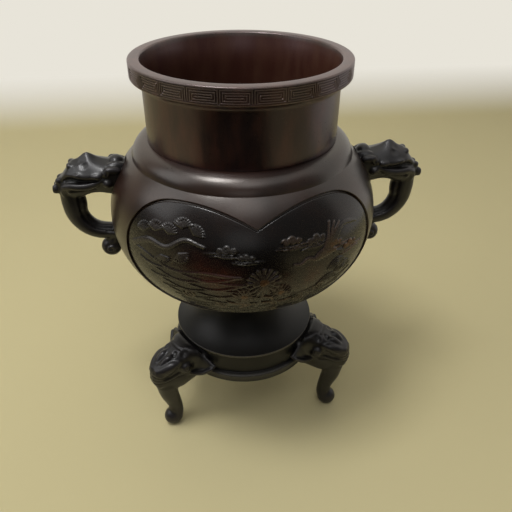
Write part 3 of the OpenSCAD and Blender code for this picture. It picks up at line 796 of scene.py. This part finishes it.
def tube(path, radii, along=60, around=36):
    """A tube along a smooth path, closed at its ends.

    At each control point it has two radii, in the plane of x and z and across it.
    """
    path, radii = np.asarray(path, float), np.asarray(radii, float)
    steps = np.concatenate([[0], np.cumsum(np.linalg.norm(np.diff(path, axis=0), axis=1))])
    at = np.linspace(0, steps[-1], along)
    line, size = spline(steps, path, at), spline(steps, radii, at)
    tangent = np.gradient(line, axis=0)
    tangent /= np.linalg.norm(tangent, axis=1)[:, None]
    across = np.array([0.0, 1, 0]) - tangent * tangent[:, 1:2]
    across /= np.linalg.norm(across, axis=1)[:, None]
    normal = np.cross(across, tangent)
    v = np.linspace(0, 2 * math.pi, around + 1)[:-1]
    # Each end is a dome of a few rings
    dome = np.array([1.0, 0.7, 0.35])
    cap = np.sqrt(np.clip(1 - dome**2, 0, 1))
    grow = np.concatenate([cap, np.ones(along), cap[::-1]])
    pick = np.concatenate([[0] * len(dome), np.arange(along), [along - 1] * len(dome)])
    shift = np.concatenate([-dome, np.zeros(along), dome[::-1]])
    line = line[pick] + tangent[pick] * (shift * size[pick].min(1))[:, None]
    ring = (np.cos(v)[None, :, None] * (normal[pick] * size[pick, :1] * grow[:, None])[:, None]
            + np.sin(v)[None, :, None] * (across[pick] * size[pick, 1:] * grow[:, None])[:, None])
    return line[:, None] + ring


def closed_ends(grid):
    """A grid whose first and last rows are each drawn together to a point."""
    first, last = (np.broadcast_to(row.mean(0), row.shape)[None] for row in (grid[0], grid[-1]))
    return np.concatenate([first, grid, last])


def loft(stations, halves, along=90, half_round=44):
    """A form carried along x.

    At each station it has a half section (y, z) from its top to its bottom, which is mirrored in y.
    """
    halves = np.asarray(halves, float)
    count = halves.shape[1]
    fine = spline(np.arange(count), halves.transpose(1, 0, 2), np.linspace(0, count - 1, half_round))
    fine[:, :, 0] = np.maximum(fine[:, :, 0], 0)
    x = np.linspace(stations[0], stations[-1], along)
    body = spline(stations, fine.transpose(1, 0, 2), x)
    body[:, [0, -1], 0] = 0
    mirror = body[:, -2:0:-1] * [-1, 1]
    loop = np.concatenate([body, mirror], 1)
    return closed_ends(np.concatenate([np.broadcast_to(x[:, None, None], (*loop.shape[:2], 1)), loop], -1))


def fuse(name, grids, voxel):
    """One closed skin over overlapping closed grids, by a voxel remesh; returns its points (mm) and faces."""
    start, points, faces = 0, [], []
    for grid in grids:
        points.append(grid.reshape(-1, 3) * MM)
        faces.append(quads(*grid.shape[:2], False, True) + start)
        start += grid.shape[0] * grid.shape[1]
    rough = bpy.data.objects.new(name, mesh_of(name, np.concatenate(points), np.concatenate(faces)))
    bpy.context.scene.collection.objects.link(rough)
    shrink = rough.modifiers.new("Remesh", "REMESH")
    shrink.mode = "VOXEL"
    shrink.voxel_size = voxel
    solid = bpy.data.meshes.new_from_object(rough.evaluated_get(bpy.context.evaluated_depsgraph_get()))
    co = np.empty(len(solid.vertices) * 3, np.float32)
    solid.vertices.foreach_get("co", co)
    corners = np.empty(len(solid.loops), np.int32)
    solid.loops.foreach_get("vertex_index", corners)
    bpy.data.objects.remove(rough)
    return co.reshape(-1, 3).astype(float) / MM, corners.reshape(-1, 4)


def neighbours(faces):
    """The two ends of each edge, both ways round."""
    pairs = np.concatenate([faces[:, [k, (k + 1) % 4]] for k in range(4)])
    return np.concatenate([pairs, pairs[:, ::-1]])


def soften(values, pairs, share, rounds):
    """Moves each point's value towards the mean of its neighbours."""
    values = values.copy()
    count = np.bincount(pairs[:, 0], minlength=len(values))
    for _ in range(rounds):
        total = [np.bincount(pairs[:, 0], column[pairs[:, 1]], len(values)) for column in values.T]
        values += share * (np.stack(total, -1) / count[:, None] - values)
    return values


def normals(points, faces):
    """Unit normals at the points, from the diagonals of their faces."""
    p = points[faces]
    flat = np.cross(p[:, 2] - p[:, 0], p[:, 3] - p[:, 1])
    total = [np.bincount(faces.ravel(), np.repeat(column, 4), len(points)) for column in flat.T]
    total = np.stack(total, -1)
    return total / np.maximum(np.linalg.norm(total, axis=1), 1e-12)[:, None]


def carve(points, faces, strokes):
    """Presses strokes into a skin: by depth (1 - (d / width)^2)^2 along the normal, at d from the path.

    A stroke is (path, width, depth), on both sides of the middle plane, and its depth is below zero. Its path
    is drawn on to the skin first.
    """
    lean = normals(points, faces)
    lift = np.zeros(len(points))
    for path, width, depth in strokes:
        for side in (1, -1):
            line = np.asarray(path, float) * [1, side, 1]
            wide = np.broadcast_to(width, len(line))
            seat = points[np.argmin(((points[None] - line[:, None])**2).sum(-1), 1)]
            first, last = seat.min(0) - wide.max(), seat.max(0) + wide.max()
            near = np.flatnonzero(np.all((points > first) & (points < last), 1))
            off = np.linalg.norm(points[near, None] - seat[None], axis=-1) / wide
            press = depth * (1 - np.clip(off.min(1), 0, 1)**2)**2
            lift[near] = np.where(np.abs(press) > np.abs(lift[near]), press, lift[near])
    return points + lean * lift[:, None]


def side_scroll(x, y, z, radius, start, turns, count=44):
    """A curl on the side of a form, in the plane of x and z."""
    flat = scroll((x, z), radius, start, turns, 0.1, count)
    return np.stack([flat[:, 0], np.full(count, y), flat[:, 1]], -1)


def cast(name, grids, strokes, voxel, fit, melt=None):
    """A sculpted casting: fused, softened, fitted to its neighbours and carved.

    Where melt, a function of the points, is above 0, forms run into each other more. Returns the points, the
    faces and how far each point stands out from the softened form.
    """
    points, faces = fuse(name, grids, voxel)
    pairs = neighbours(faces)
    if melt:
        points = soften(points, pairs, 0.5 * melt(points)[:, None], 90)
    # The steps of the voxels go first, then the crease that the fit leaves
    points = soften(fit(soften(points, pairs, 0.5, 7)), pairs, 0.5, 4)
    points = carve(points, faces, strokes)
    points = fit(soften(points, pairs, 0.3, 1))
    stand = ((points - soften(points, pairs, 0.6, 14)) * normals(points, faces)).sum(1)
    return points, faces, stand


# How deep the castings reach under the skin of what carries them, in mm
SINK = 0.4


def beast_wear_and_painted_light(points, stand, ball):
    """Rubbing of a casting: high where it stands out; on its ball both wear and a painted highlight; below
    zero in its hollows, for painted shade.
    """
    ball_r = 8
    off = np.linalg.norm(points - ball, axis=1)
    return np.clip(stand * 2.2, -0.6, 1) + 0.5 * np.clip(2 - off / ball_r, 0, 1)


# Beast head: places along its length from the belly, and its half section (y, z) at each, in mm
HEAD_STATIONS = [-20, -10, 0, 5, 12.5, 20, 26, 29.5, 34, 38, 41]
HEAD_HALVES = [
    [(0, 44), (6, 42.4), (10, 39.4), (12, 36), (12, 33), (12, 30), (11.5, 25), (8, 17), (0, 13.5)],
    [(0, 44.4), (6, 42.6), (10.4, 39.6), (12.6, 36.4), (13, 33.6), (13, 30), (12, 25), (8, 17), (0, 14)],
    [(0, 45.2), (8, 43), (12.6, 40.2), (14, 37.6), (13.4, 34.4), (13.2, 31), (12.2, 26), (8.5, 19), (0, 16)],
    [(0, 47), (8, 44), (13.2, 39.6), (15.4, 36.2), (13.2, 32.6), (13.2, 29.6), (12.2, 25.5), (8.5, 20),
     (0, 17.4)],
    [(0, 51.2), (7, 45.8), (12.8, 39.4), (15.4, 35.4), (12, 31.6), (13.2, 28.2), (12.2, 24.6), (8.5, 19.6),
     (0, 17.4)],
    [(0, 46.6), (7.5, 43), (12.2, 39.2), (14.6, 36.2), (11, 32), (13, 27.8), (12, 24), (9, 17.6), (0, 14)],
    [(0, 43.8), (6.5, 41.6), (10.2, 39), (12.2, 37), (9.4, 32.8), (12, 28), (11.4, 24), (8.4, 17), (0, 12.5)],
    [(0, 39.6), (5, 38.8), (8.4, 37.4), (9.8, 35.8), (8.2, 32.4), (10.8, 28), (10.4, 23.4), (8, 17),
     (0, 12.5)],
    [(0, 33.8), (3.8, 33.4), (6, 32.6), (7, 31.6), (6.4, 29.6), (8, 26.6), (8, 22), (6, 17), (0, 14)],
    [(0, 29.6), (2.8, 29.2), (4.2, 28.4), (4.8, 27.4), (5, 26), (5.4, 23.8), (5, 20.4), (3.4, 17.5), (0, 16)],
    [(0, 25.4), (1.2, 25.2), (1.9, 24.7), (2.3, 24), (2.5, 23.2), (2.6, 22.2), (2.3, 20.8), (1.4, 19.4),
     (0, 19)],
]


class VASE_OT_handles(bpy.types.Operator):
    """Handles: beast heads lofted along their length, with a loop from the mouth and a ball scroll, carved"""
    bl_idname = "vase.handles"
    bl_label = "Beast-head handles"

    def execute(self, context):
        size, tint = context.scene.vase_sizes, context.scene.vase_colours
        ball = (5.5, 0, -35.8)
        loop = [(30, 0, 21), (29, 0, 8), (28.4, 0, -2), (25, 0, -9.5), (19.5, 0, -15.5), (13, 0, -18.8),
                (5, 0, -20), (-9, 0, -20)]
        lip = np.array([(1, 13.2, 33.4), (6, 13, 30.2), (13, 13.2, 28), (21, 12.8, 27.4), (28, 11, 27.4),
                        (32, 9.2, 25.8), (33.8, 7.8, 22.4), (33.4, 7.2, 18)])
        lip_r = np.array([1.4, 2.4, 2.9, 3, 2.8, 2.6, 2.4, 1.8])[:, None] * [1, 1]
        grids = [
            loft(HEAD_STATIONS, HEAD_HALVES),
            tube(loop, [(8.6, 9), (10, 9), (9, 8.5), (8.4, 8.2), (7.8, 8), (7.4, 7.7), (7, 7.2), (6.5, 7)]),
            lump((-9, 0, 43.6), (5.5, 6.5, 4)),
            lump(ball, (8.6, 8, 8.6)),
            tube([(0, 0, -20), (1.5, 0, -25), (4, 0, -31)], [(5, 6), (4.8, 6), (6, 6.4)], 20),
        ]
        # Lip, two locks of the mane, nose, nostril, curls, brow and beads
        for s in (1, -1):
            grids += [
                tube(lip * [1, s, 1], lip_r, 60, 24),
                tube([(-13, s * 6.4, 41.6), (-9, s * 7, 42), (-5, s * 7.6, 41.8)],
                     [(2.6, 3), (3, 3), (2.4, 2.6)], 20, 20),
                tube([(-11, s * 12, 39.6), (-7, s * 12.6, 40.2), (-3.6, s * 13.4, 40.2)],
                     [(2.4, 2.6), (2.8, 2.8), (2.6, 2.6)], 20, 20),
                lump((40.4, s * 3.4, 22.2), (3.3, 3.2, 3.9)),
                lump((36.2, s * 3.6, 29.2), (3.5, 3, 2.9)),
                lump((-2.4, s * 13.6, 38), (2.8, 2.6, 2.8)),
                lump((-1.4, s * 13.4, 29.5), (3.6, 3, 3.2)),
                lump((5.4, s * 14, 36), (4.8, 3, 2.5)),
                lump((19.6, s * 13, 37.2), (3, 2.4, 1.9)),
                lump((28, s * 9.6, 22.4), (2.2, 2.2, 2.2)),
                lump((26, s * 4, 42), (2.8, 3.6, 2.4)),
            ]
        mouth = [(1.5, 14, 35.2), (6, 13.4, 32.8), (13, 12.2, 31.6), (20, 11.4, 32), (26, 9.8, 32.8),
                 (31, 8, 31.4)]
        inner_loop = [(22.4, 8.4, 14), (22, 8.4, 4), (20.8, 8, -3), (17, 7.8, -8.4), (10, 7.4, -12.6),
                      (3, 7, -14)]
        strokes = [
            (smooth_path(mouth, 70), 1.5, -1.1),
            (smooth_path([(8, 12.6, 24.8), (18, 12.4, 24), (26, 11.4, 23.6)], 50), 1.8, -0.7),
            (smooth_path(inner_loop, 90), 2.8, -1.2),
            (smooth_path([(6, 6.5, -17), (1, 6.5, -18), (-2, 6, -19)], 30), 1.6, -1.0),
            (side_scroll(ball[0], 8, ball[2], 5.4, 100, -1.1), 1.7, -0.9),
            (np.array([(ball[0], 8, ball[2])]), 1.8, -1.2),
            (side_scroll(-2.4, 16, 38, 1.6, 60, 1.0, 24), 0.9, -0.8),
            (np.array([(16.5, 6, 47), (15, 9, 44)]), 4.5, -0.8),
        ]
        out, ring = size.belly_r / MM - SINK, size.belly_c / MM
        wide = ring + size.belly_r / MM

        def on_belly(points):
            """Pushes points out to just under the belly's skin."""
            r = np.hypot(points[:, 0] + wide, points[:, 1])
            grow = np.maximum(out / np.maximum(np.hypot(r - ring, points[:, 2]), 1e-6), 1)
            flat = (ring + (r - ring) * grow) / np.maximum(r, 1e-6)
            x, y, z = points.T
            return np.stack([(x + wide) * flat - wide, y * flat, z * grow], -1)

        points, faces, stand = cast("handle_rough", grids, strokes, size.voxel, on_belly)
        wear_and_painted_light = beast_wear_and_painted_light(points, stand, ball)
        points = points * MM + [wide * MM, 0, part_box("foot")[1].z + size.belly_r]
        points = np.clip(points, *(list(corner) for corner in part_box("handle_right")))
        # Black patina worn to a cool grey on the high points, with a painted highlight on the ball and
        # painted shade in the hollows
        skin = bronze("black_patinated_cast_beasts", tint.beast_dark, tint.beast_light, tint.beast_worn_and_highlight,
                      gloss=(0.3, 0.42), glance=0.54, mottle=14 * MM)
        for name, sign in (("handle_right", 1), ("handle_left", -1)):
            mesh = mesh_of(f"{name}_skin", points * [sign, sign, 1], faces, {"wear_and_painted_light": wear_and_painted_light})
            dress(f"{name}_skin", mesh, skin, "vase", [name], 75)
        return {"FINISHED"}


# Beast mask: places along its length from the ring's wall, and its half section (y, z) at each, in mm
MASK_STATIONS = [-6, 3, 8, 12, 18, 24, 30, 35, 39, 42, 43.6]
MASK_HALVES = [
    [(0, 28), (13, 27.6), (20, 25), (22.6, 19), (21, 13), (18, 6), (13, -3), (8, -11), (0, -14)],
    [(0, 29.6), (11.4, 29.2), (17.4, 26.6), (20, 20.4), (18.8, 13), (16, 6), (12.4, -4), (8, -12), (0, -15)],
    [(0, 31), (9.5, 30.6), (14.8, 28), (17, 21), (16, 13), (14, 5.4), (12.2, -4), (8.2, -12.6), (0, -15.6)],
    [(0, 31), (7, 30.6), (12.4, 28), (15.2, 20.6), (14.8, 12.5), (13.4, 5), (12.4, -4), (8.5, -13), (0, -16)],
    [(0, 29.4), (6, 29.2), (11, 26.8), (14.2, 19.6), (13.8, 12), (12.6, 5), (12.4, -4), (8.5, -14), (0, -17)],
    [(0, 26.2), (5, 26), (9.6, 23.8), (12.8, 19), (13, 13.6), (11.4, 6.6), (11.4, -3), (8.5, -13), (0, -16)],
    [(0, 22.6), (4.6, 22.4), (8.8, 20.4), (11.8, 16.4), (12, 11.6), (10, 6), (10, -1), (7.8, -10), (0, -13)],
    [(0, 20), (4.6, 19.8), (8.4, 17.8), (10.6, 14), (10.6, 10.2), (8.6, 6), (8.6, 0), (6.8, -7), (0, -9.6)],
    [(0, 18.6), (4.4, 18), (7.4, 16), (9.2, 12.6), (9.2, 9.2), (7.2, 5.4), (7.2, 1), (5.6, -4.4), (0, -6.4)],
    [(0, 15.8), (3.6, 15.4), (5.6, 13.8), (6.6, 11.6), (6.6, 9.2), (5.2, 6), (5.4, 2), (4, -2), (0, -3.6)],
    [(0, 12.4), (1.8, 12.2), (2.6, 11.4), (3, 10.4), (3, 9), (2.4, 6.6), (3.4, 3.6), (2.2, 1), (0, 0.4)],
]
# Turn in degrees, height, half height, stand-off and half thickness of a leaf ear
EAR = [
    (0, 13.5, 13.5, 2.5, 4), (7, 13.5, 13.5, 3.4, 4), (12, 13.8, 12.4, 3.7, 3.8), (16, 14.4, 11, 4, 3.5),
    (20, 14.6, 8.4, 4.5, 3.1), (24, 15.3, 5.5, 5, 2.7), (27.5, 16.4, 2.7, 5.3, 2.2),
    (29.8, 17, 0.9, 5.2, 1.2),
]


def leaf_ear(wall, side):
    """A leaf that follows the ring and narrows to a tip: at each turn an upright ellipse, its foot out."""
    rows = np.array(EAR)
    fine = spline(rows[:, 0], rows, np.linspace(0, rows[-1, 0], 60))
    turn, height, half, stand, thick = fine.T[..., None]
    v = np.linspace(0, 2 * math.pi, 49)[None, :-1]
    r = wall + stand + thick * np.sin(v) + (9 * np.sin(v / 2)**4 - 2) * half / EAR[0][2]
    at = np.radians(turn) * side
    return closed_ends(np.stack([r * np.cos(at) - wall, r * np.sin(at), height + half * np.cos(v)], -1))


def ear_rim(wall, side):
    """The rolled lower edge of a leaf ear: a tube along the feet of its ellipses."""
    turn, height, half, stand, _ = np.array(EAR[2:-1]).T
    r, at = wall + stand + 7 * half / EAR[0][2] + 1.8, np.radians(turn) * side
    path = np.stack([r * np.cos(at) - wall, r * np.sin(at), height - half + 2], -1)
    return tube(path, np.linspace(2.8, 1.6, len(turn))[:, None] * [1, 1], 40, 24)


class VASE_OT_legs(bpy.types.Operator):
    """Legs: beast masks lofted along their length, with leaf ears round the ring and a trunk with a ball"""
    bl_idname = "vase.legs"
    bl_label = "Beast-mask legs"

    def execute(self, context):
        size = context.scene.vase_sizes
        ring_low, ring_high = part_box("stand_ring")
        wall = size.wall_r / MM
        drop = ring_low.z / MM
        ball = (26.4, 0, 8.3 - drop)
        grids = [
            loft(MASK_STATIONS, MASK_HALVES),
            tube([(29, 0, -8), (28.3, 0, -22), (25.3, 0, -34), (23.3, 0, -44), (24, 0, -53), ball],
                 [(11, 10), (8.8, 8.6), (7.4, 7.6), (6.7, 7.2), (7.4, 7.8), (8.4, 7.8)], 50),
            lump(ball, (9.2, 8.4, 9.2)),
        ]
        # Ear, almond eye, upper lip with its cheek, curl at the corner of the mouth, lower lip and chin
        for s in (1, -1):
            grids += [
                leaf_ear(wall, s),
                ear_rim(wall, s),
                tube([(22.6, s * 4, 25.4), (27, s * 4, 23.7), (32, s * 3.4, 20.9), (37, s * 2.6, 17.4)],
                     [(1.4, 1.8), (3.3, 3.2), (2.7, 2.8), (1.3, 1.4)], 40, 28),
                tube([(39, s * 3.6, 13.8), (35, s * 6.4, 14.8), (31, s * 8.2, 16.8), (26, s * 10, 19),
                      (21.6, s * 11, 20.4)],
                     [(4, 3.8), (5, 4.6), (5.2, 4.8), (4.6, 4.4), (3, 3)], 50, 28),
                lump((15.8, s * 13.8, 13.6), (5.6, 4.8, 5.6)),
                tube([(42, s * 1.8, 5.2), (38.8, s * 5.4, 4.8), (35.4, s * 7.6, 5), (29.4, s * 9.8, 6.6),
                      (20.4, s * 12, 9)],
                     [(2.5, 2.5), (2.8, 2.8), (2.9, 2.9), (2.8, 2.8), (2.2, 2.2)], 50, 24),
                lump((37.4, s * 2.8, -2.6), (4.8, 4.6, 3.8)),
            ]
        mouth = [(43, 2, 10.4), (40.6, 6.6, 10), (36, 10, 9.6), (30.6, 12, 12), (24.4, 14, 16.4)]
        under_lip = [(43.4, 3, 2.4), (39.8, 7.6, 2), (33.6, 10.4, 1.8), (26.2, 12.2, 4), (18, 13, 4)]
        strokes = [
            (side_scroll(16.6, 18.4, 14.4, 3.2, 160, 1.2), 1.3, -0.6),
            (np.array([(21.4, 6.2, 28), (22.4, 7, 27)]), 3, -1.2),
            (smooth_path(mouth, 60), 1.7, -0.8),
            (smooth_path(under_lip, 60), 1.7, -0.6),
            (np.array([(14.8, 11.2, 28), (16, 11.6, 27)]), 4.6, -1.5),
            (smooth_path([(17, 0, 30.4), (16.6, 4, 30), (15.8, 7, 29.4)], 30), 1.8, -0.6),
            (np.array([(41.6, 3.8, 14.6)]), 1.5, -0.6),
        ]
        lip, lip_h = ring_high.x / MM, size.lip_h / MM
        top = (ring_high.z - ring_low.z - size.flare_t) / MM
        clear = (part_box("foot")[1].x + size.leg_gap) / MM

        def on_ring(points):
            """Pushes points out to just under the ring's skin, clear of the foot, and up to the floor."""
            x, y, z = points[:, 0] + wall, points[:, 1], points[:, 2]
            least = np.select([z < 0, z < lip_h, z < top], [0, lip - SINK, wall - SINK], clear)
            push = np.maximum(least / np.maximum(np.hypot(x, y), 1e-6), 1)
            return np.stack([x * push - wall, y * push, np.maximum(z, -drop)], -1)

        def ear_roots(points):
            """How far points belong to the roots of the ears."""
            x, y, z = points.T
            back, side = np.clip((15 - x) / 5, 0, 1), np.clip((26 - np.abs(y)) / 6, 0, 1)
            return back * side * np.clip((z + 2) / 4, 0, 1) * np.clip((30 - z) / 5, 0, 1)

        points, faces, stand = cast("leg_rough", grids, strokes, size.voxel, on_ring, ear_roots)
        # Wear of the mask, with a painted highlight on its ball and painted shade in its hollows
        wear_and_painted_light = beast_wear_and_painted_light(points, stand, ball)
        points = points * MM + [size.wall_r, 0, ring_low.z]
        skin = bpy.data.materials["black_patinated_cast_beasts"]
        for name, stands_at in (("leg_left", 210), ("leg_right", 330), ("leg_rear", 90)):
            about = size.stand_turn + math.radians(stands_at)
            cos, sin = math.cos(about), math.sin(about)
            turn = np.array([(cos, sin, 0), (-sin, cos, 0), (0, 0, 1)])
            mesh = mesh_of(f"{name}_skin", points @ turn, faces, {"wear_and_painted_light": wear_and_painted_light})
            dress(f"{name}_skin", mesh, skin, "stand", [name], 75)
        return {"FINISHED"}


class VASE_OT_fittings(bpy.types.Operator):
    """Bottom plate and rivets: the solids themselves, in plain dull bronze"""
    bl_idname = "vase.fittings"
    bl_label = "Plate and rivets"

    def execute(self, context):
        tint = context.scene.vase_colours
        # Bronze left bare: dull, brown and more metallic
        skin = bronze("plain_dull_bronze", tint.rivet, tint.inside, tint.rim_worn,
                      gloss=(0.4, 0.55), glance=0.5, metal=0.7, mottle=9 * MM)
        for name in ("bottom_plate", "handle_rivets", "leg_rivets"):
            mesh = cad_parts[name].data
            mesh.materials.clear()
            mesh.materials.append(skin)
        return {"FINISHED"}


class VASE_OT_stage(bpy.types.Operator):
    """Camera at the photograph's angle, a plain pale floor and soft lamps"""
    bl_idname = "vase.stage"
    bl_label = "Stage"

    def execute(self, context):
        scene = context.scene
        stage, tint = scene.vase_stage, scene.vase_colours
        scene.view_settings.view_transform = "Standard"
        aim = Vector(stage.aim).normalized()
        right = aim.cross(Vector((0, 0, 1))).normalized()
        up = right.cross(aim)
        tilt = Matrix.Rotation(stage.roll, 3, -aim)
        axes = Matrix((tilt @ right, tilt @ up, -aim)).transposed().to_4x4()
        lens = bpy.data.cameras.new("camera")
        lens.lens = stage.lens
        lens.clip_start = 0.01
        camera = bpy.data.objects.new("camera", lens)
        camera.matrix_world = Matrix.Translation(stage.eye) @ axes
        scene.collection.objects.link(camera)
        scene.camera = camera

        # The floor runs back and curves up into a backdrop, in metres
        reach, back, bend_r, top = 6, 0.9, 0.15, 3.2
        bend = arc((back - bend_r, bend_r), bend_r, -90, 0, 17)
        profile = np.concatenate([[(-reach, 0)], bend, [(back, 1.0), (back, top)]])
        grid = np.stack([np.stack([np.full(len(profile), x), *profile.T], -1) for x in (-reach, reach)])
        floor = bpy.data.objects.new("floor", grid_mesh("floor", grid, False, False))
        if floor.data.polygons[0].normal.z < 0:
            floor.data.flip_normals()
        floor.data.shade_smooth()
        scene.collection.objects.link(floor)
        # Matt emulsion: a faint cloudiness, pale straw on the floor and white on the backdrop
        paint = bpy.data.materials.new("matt_emulsion")
        paint.use_nodes = True
        tree = paint.node_tree
        shader = tree.nodes["Principled BSDF"]
        place = add(tree, "ShaderNodeTexCoord").outputs["Object"]
        split = add(tree, "ShaderNodeSeparateXYZ", {"Vector": place}).outputs
        raised = add(tree, "ShaderNodeMapRange", {"Value": split["Z"], "From Max": 0.08}).outputs["Result"]
        central = add(tree, "ShaderNodeMapRange", {
            "Value": split["X"], "From Min": -1.4, "From Max": -1.0}).outputs["Result"]
        cloud_tone = add(tree, "ShaderNodeTexNoise", {"Vector": place, "Scale": 1 / 0.3}).outputs["Fac"]
        straw = Vector(tint.floor)
        base = add(tree, "ShaderNodeMix", {
            "Factor": cloud_tone, 6: (*(0.96 * straw), 1), 7: (*straw, 1)}, data_type="RGBA").outputs[2]
        base = add(tree, "ShaderNodeMix", {
            "Factor": raised, 6: base, 7: (*tint.wall, 1)}, data_type="RGBA").outputs[2]
        tree.links.new(base, shader.inputs["Base Color"])
        shader.inputs["Roughness"].default_value = 0.85
        # To the camera and in the gloss the backdrop is evenly white, but for its far left
        path = add(tree, "ShaderNodeLightPath").outputs
        seen = add(tree, "ShaderNodeMath", {
            0: path["Is Camera Ray"], 1: path["Is Glossy Ray"]}, operation="MAXIMUM").outputs[0]
        white = add(tree, "ShaderNodeMath", {0: seen, 1: raised}, operation="MULTIPLY").outputs[0]
        white = add(tree, "ShaderNodeMath", {0: white, 1: central}, operation="MULTIPLY").outputs[0]
        even = add(tree, "ShaderNodeEmission", {"Color": (*tint.wall, 1)}).outputs["Emission"]
        mixed = add(tree, "ShaderNodeMixShader", {
            0: white, 1: shader.outputs["BSDF"], 2: even}).outputs["Shader"]
        tree.links.new(mixed, tree.nodes["Material Output"].inputs["Surface"])
        floor.data.materials.append(paint)
        # Two cards seen only in the gloss: black felt by the camera keeps the middle of the vase dark, and
        # a glowing silk, which is no lamp, paints a reflected sheen on its right side
        for name, cover, glow, corners in (
                ("black_card", "black_felt", 0.0,
                 [(-0.46, -0.28, 0), (0.17, -0.28, 0), (0.17, -0.5, 0.26), (-0.48, -0.5, 0.26)]),
                ("glowing_sheen_card", "glowing_silk", 0.75,
                 [(0.8, -0.2, 0), (0.8, 0.7, 0), (0.8, 0.7, 1.9), (0.8, -0.2, 1.9)])):
            card = bpy.data.objects.new(name, mesh_of(name, np.array(corners, float), np.arange(4)[None]))
            card.visible_camera = False
            card.visible_diffuse = False
            card.visible_shadow = False
            card.visible_transmission = False
            cloth = bpy.data.materials.new(cover)
            cloth.use_nodes = True
            shader = cloth.node_tree.nodes["Principled BSDF"]
            shader.inputs["Base Color"].default_value = (0.004, 0.003, 0.003, 1)
            shader.inputs["Specular IOR Level"].default_value = 0
            shader.inputs["Emission Color"].default_value = (1, 0.96, 0.9, 1)
            shader.inputs["Emission Strength"].default_value = glow
            card.data.materials.append(cloth)
            scene.collection.objects.link(card)

        for name, place, target, side, watts in (
                ("window", (-1.5, -0.1, 1.2), (0, 0, 0.2), 1.1, stage.window),
                ("ceiling", (-0.37, -0.2, 1.45), (0, 0, 0.2), 0.36, stage.ceiling),
                ("fill", (-0.15, -1.4, 0.56), (0, -0.1, 0.24), 0.6, stage.fill),
                ("front", (-0.02, -0.95, 1.6), (0, -0.05, 0.25), 0.7, stage.front),
                ("panel", (0, 0.1, 2.4), (0, 0.1, 0), 3.4, stage.panel)):
            lamp = bpy.data.lights.new(name, "AREA")
            lamp.size, lamp.energy = side, watts
            holder = bpy.data.objects.new(name, lamp)
            holder.location = place
            holder.rotation_euler = (Vector(target) - Vector(place)).to_track_quat("-Z", "Y").to_euler()
            scene.collection.objects.link(holder)
        world = bpy.data.worlds.new("air")
        world.use_nodes = True
        sky = world.node_tree.nodes["Background"].inputs
        sky["Color"].default_value = (1, 0.97, 0.93, 1)
        sky["Strength"].default_value = stage.air
        scene.world = world
        return {"FINISHED"}


class VASE_PT_sidebar(bpy.types.Panel):
    """Lists the pieces of the vase and its stage"""
    bl_idname = "VASE_PT_sidebar"
    bl_label = "Bronze flower vase"
    bl_space_type = "VIEW_3D"
    bl_region_type = "UI"
    bl_category = "Vase"

    def draw(self, context):
        for maker in MAKERS:
            self.layout.operator(maker.bl_idname)


MAKERS = (VASE_OT_stage, VASE_OT_neck, VASE_OT_body, VASE_OT_panels, VASE_OT_foot, VASE_OT_ring,
          VASE_OT_handles, VASE_OT_legs, VASE_OT_fittings)
GROUPS = {"vase_sizes": VaseSizes, "vase_colours": VaseColours, "vase_stage": VaseStage}


def register():
    for part in (*GROUPS.values(), *MAKERS, VASE_PT_sidebar):
        bpy.utils.register_class(part)
    for name, group in GROUPS.items():
        setattr(bpy.types.Scene, name, bpy.props.PointerProperty(type=group))


def unregister():
    for name in GROUPS:
        delattr(bpy.types.Scene, name)
    for part in (VASE_PT_sidebar, *reversed(MAKERS), *reversed(GROUPS.values())):
        bpy.utils.unregister_class(part)


def main():
    register()
    bpy.ops.vase.stage()
    bpy.ops.vase.neck()
    bpy.ops.vase.body()
    bpy.ops.vase.panels()
    bpy.ops.vase.foot()
    bpy.ops.vase.ring()
    bpy.ops.vase.handles()
    bpy.ops.vase.legs()
    bpy.ops.vase.fittings()


if __name__ == "__main__":
    main()
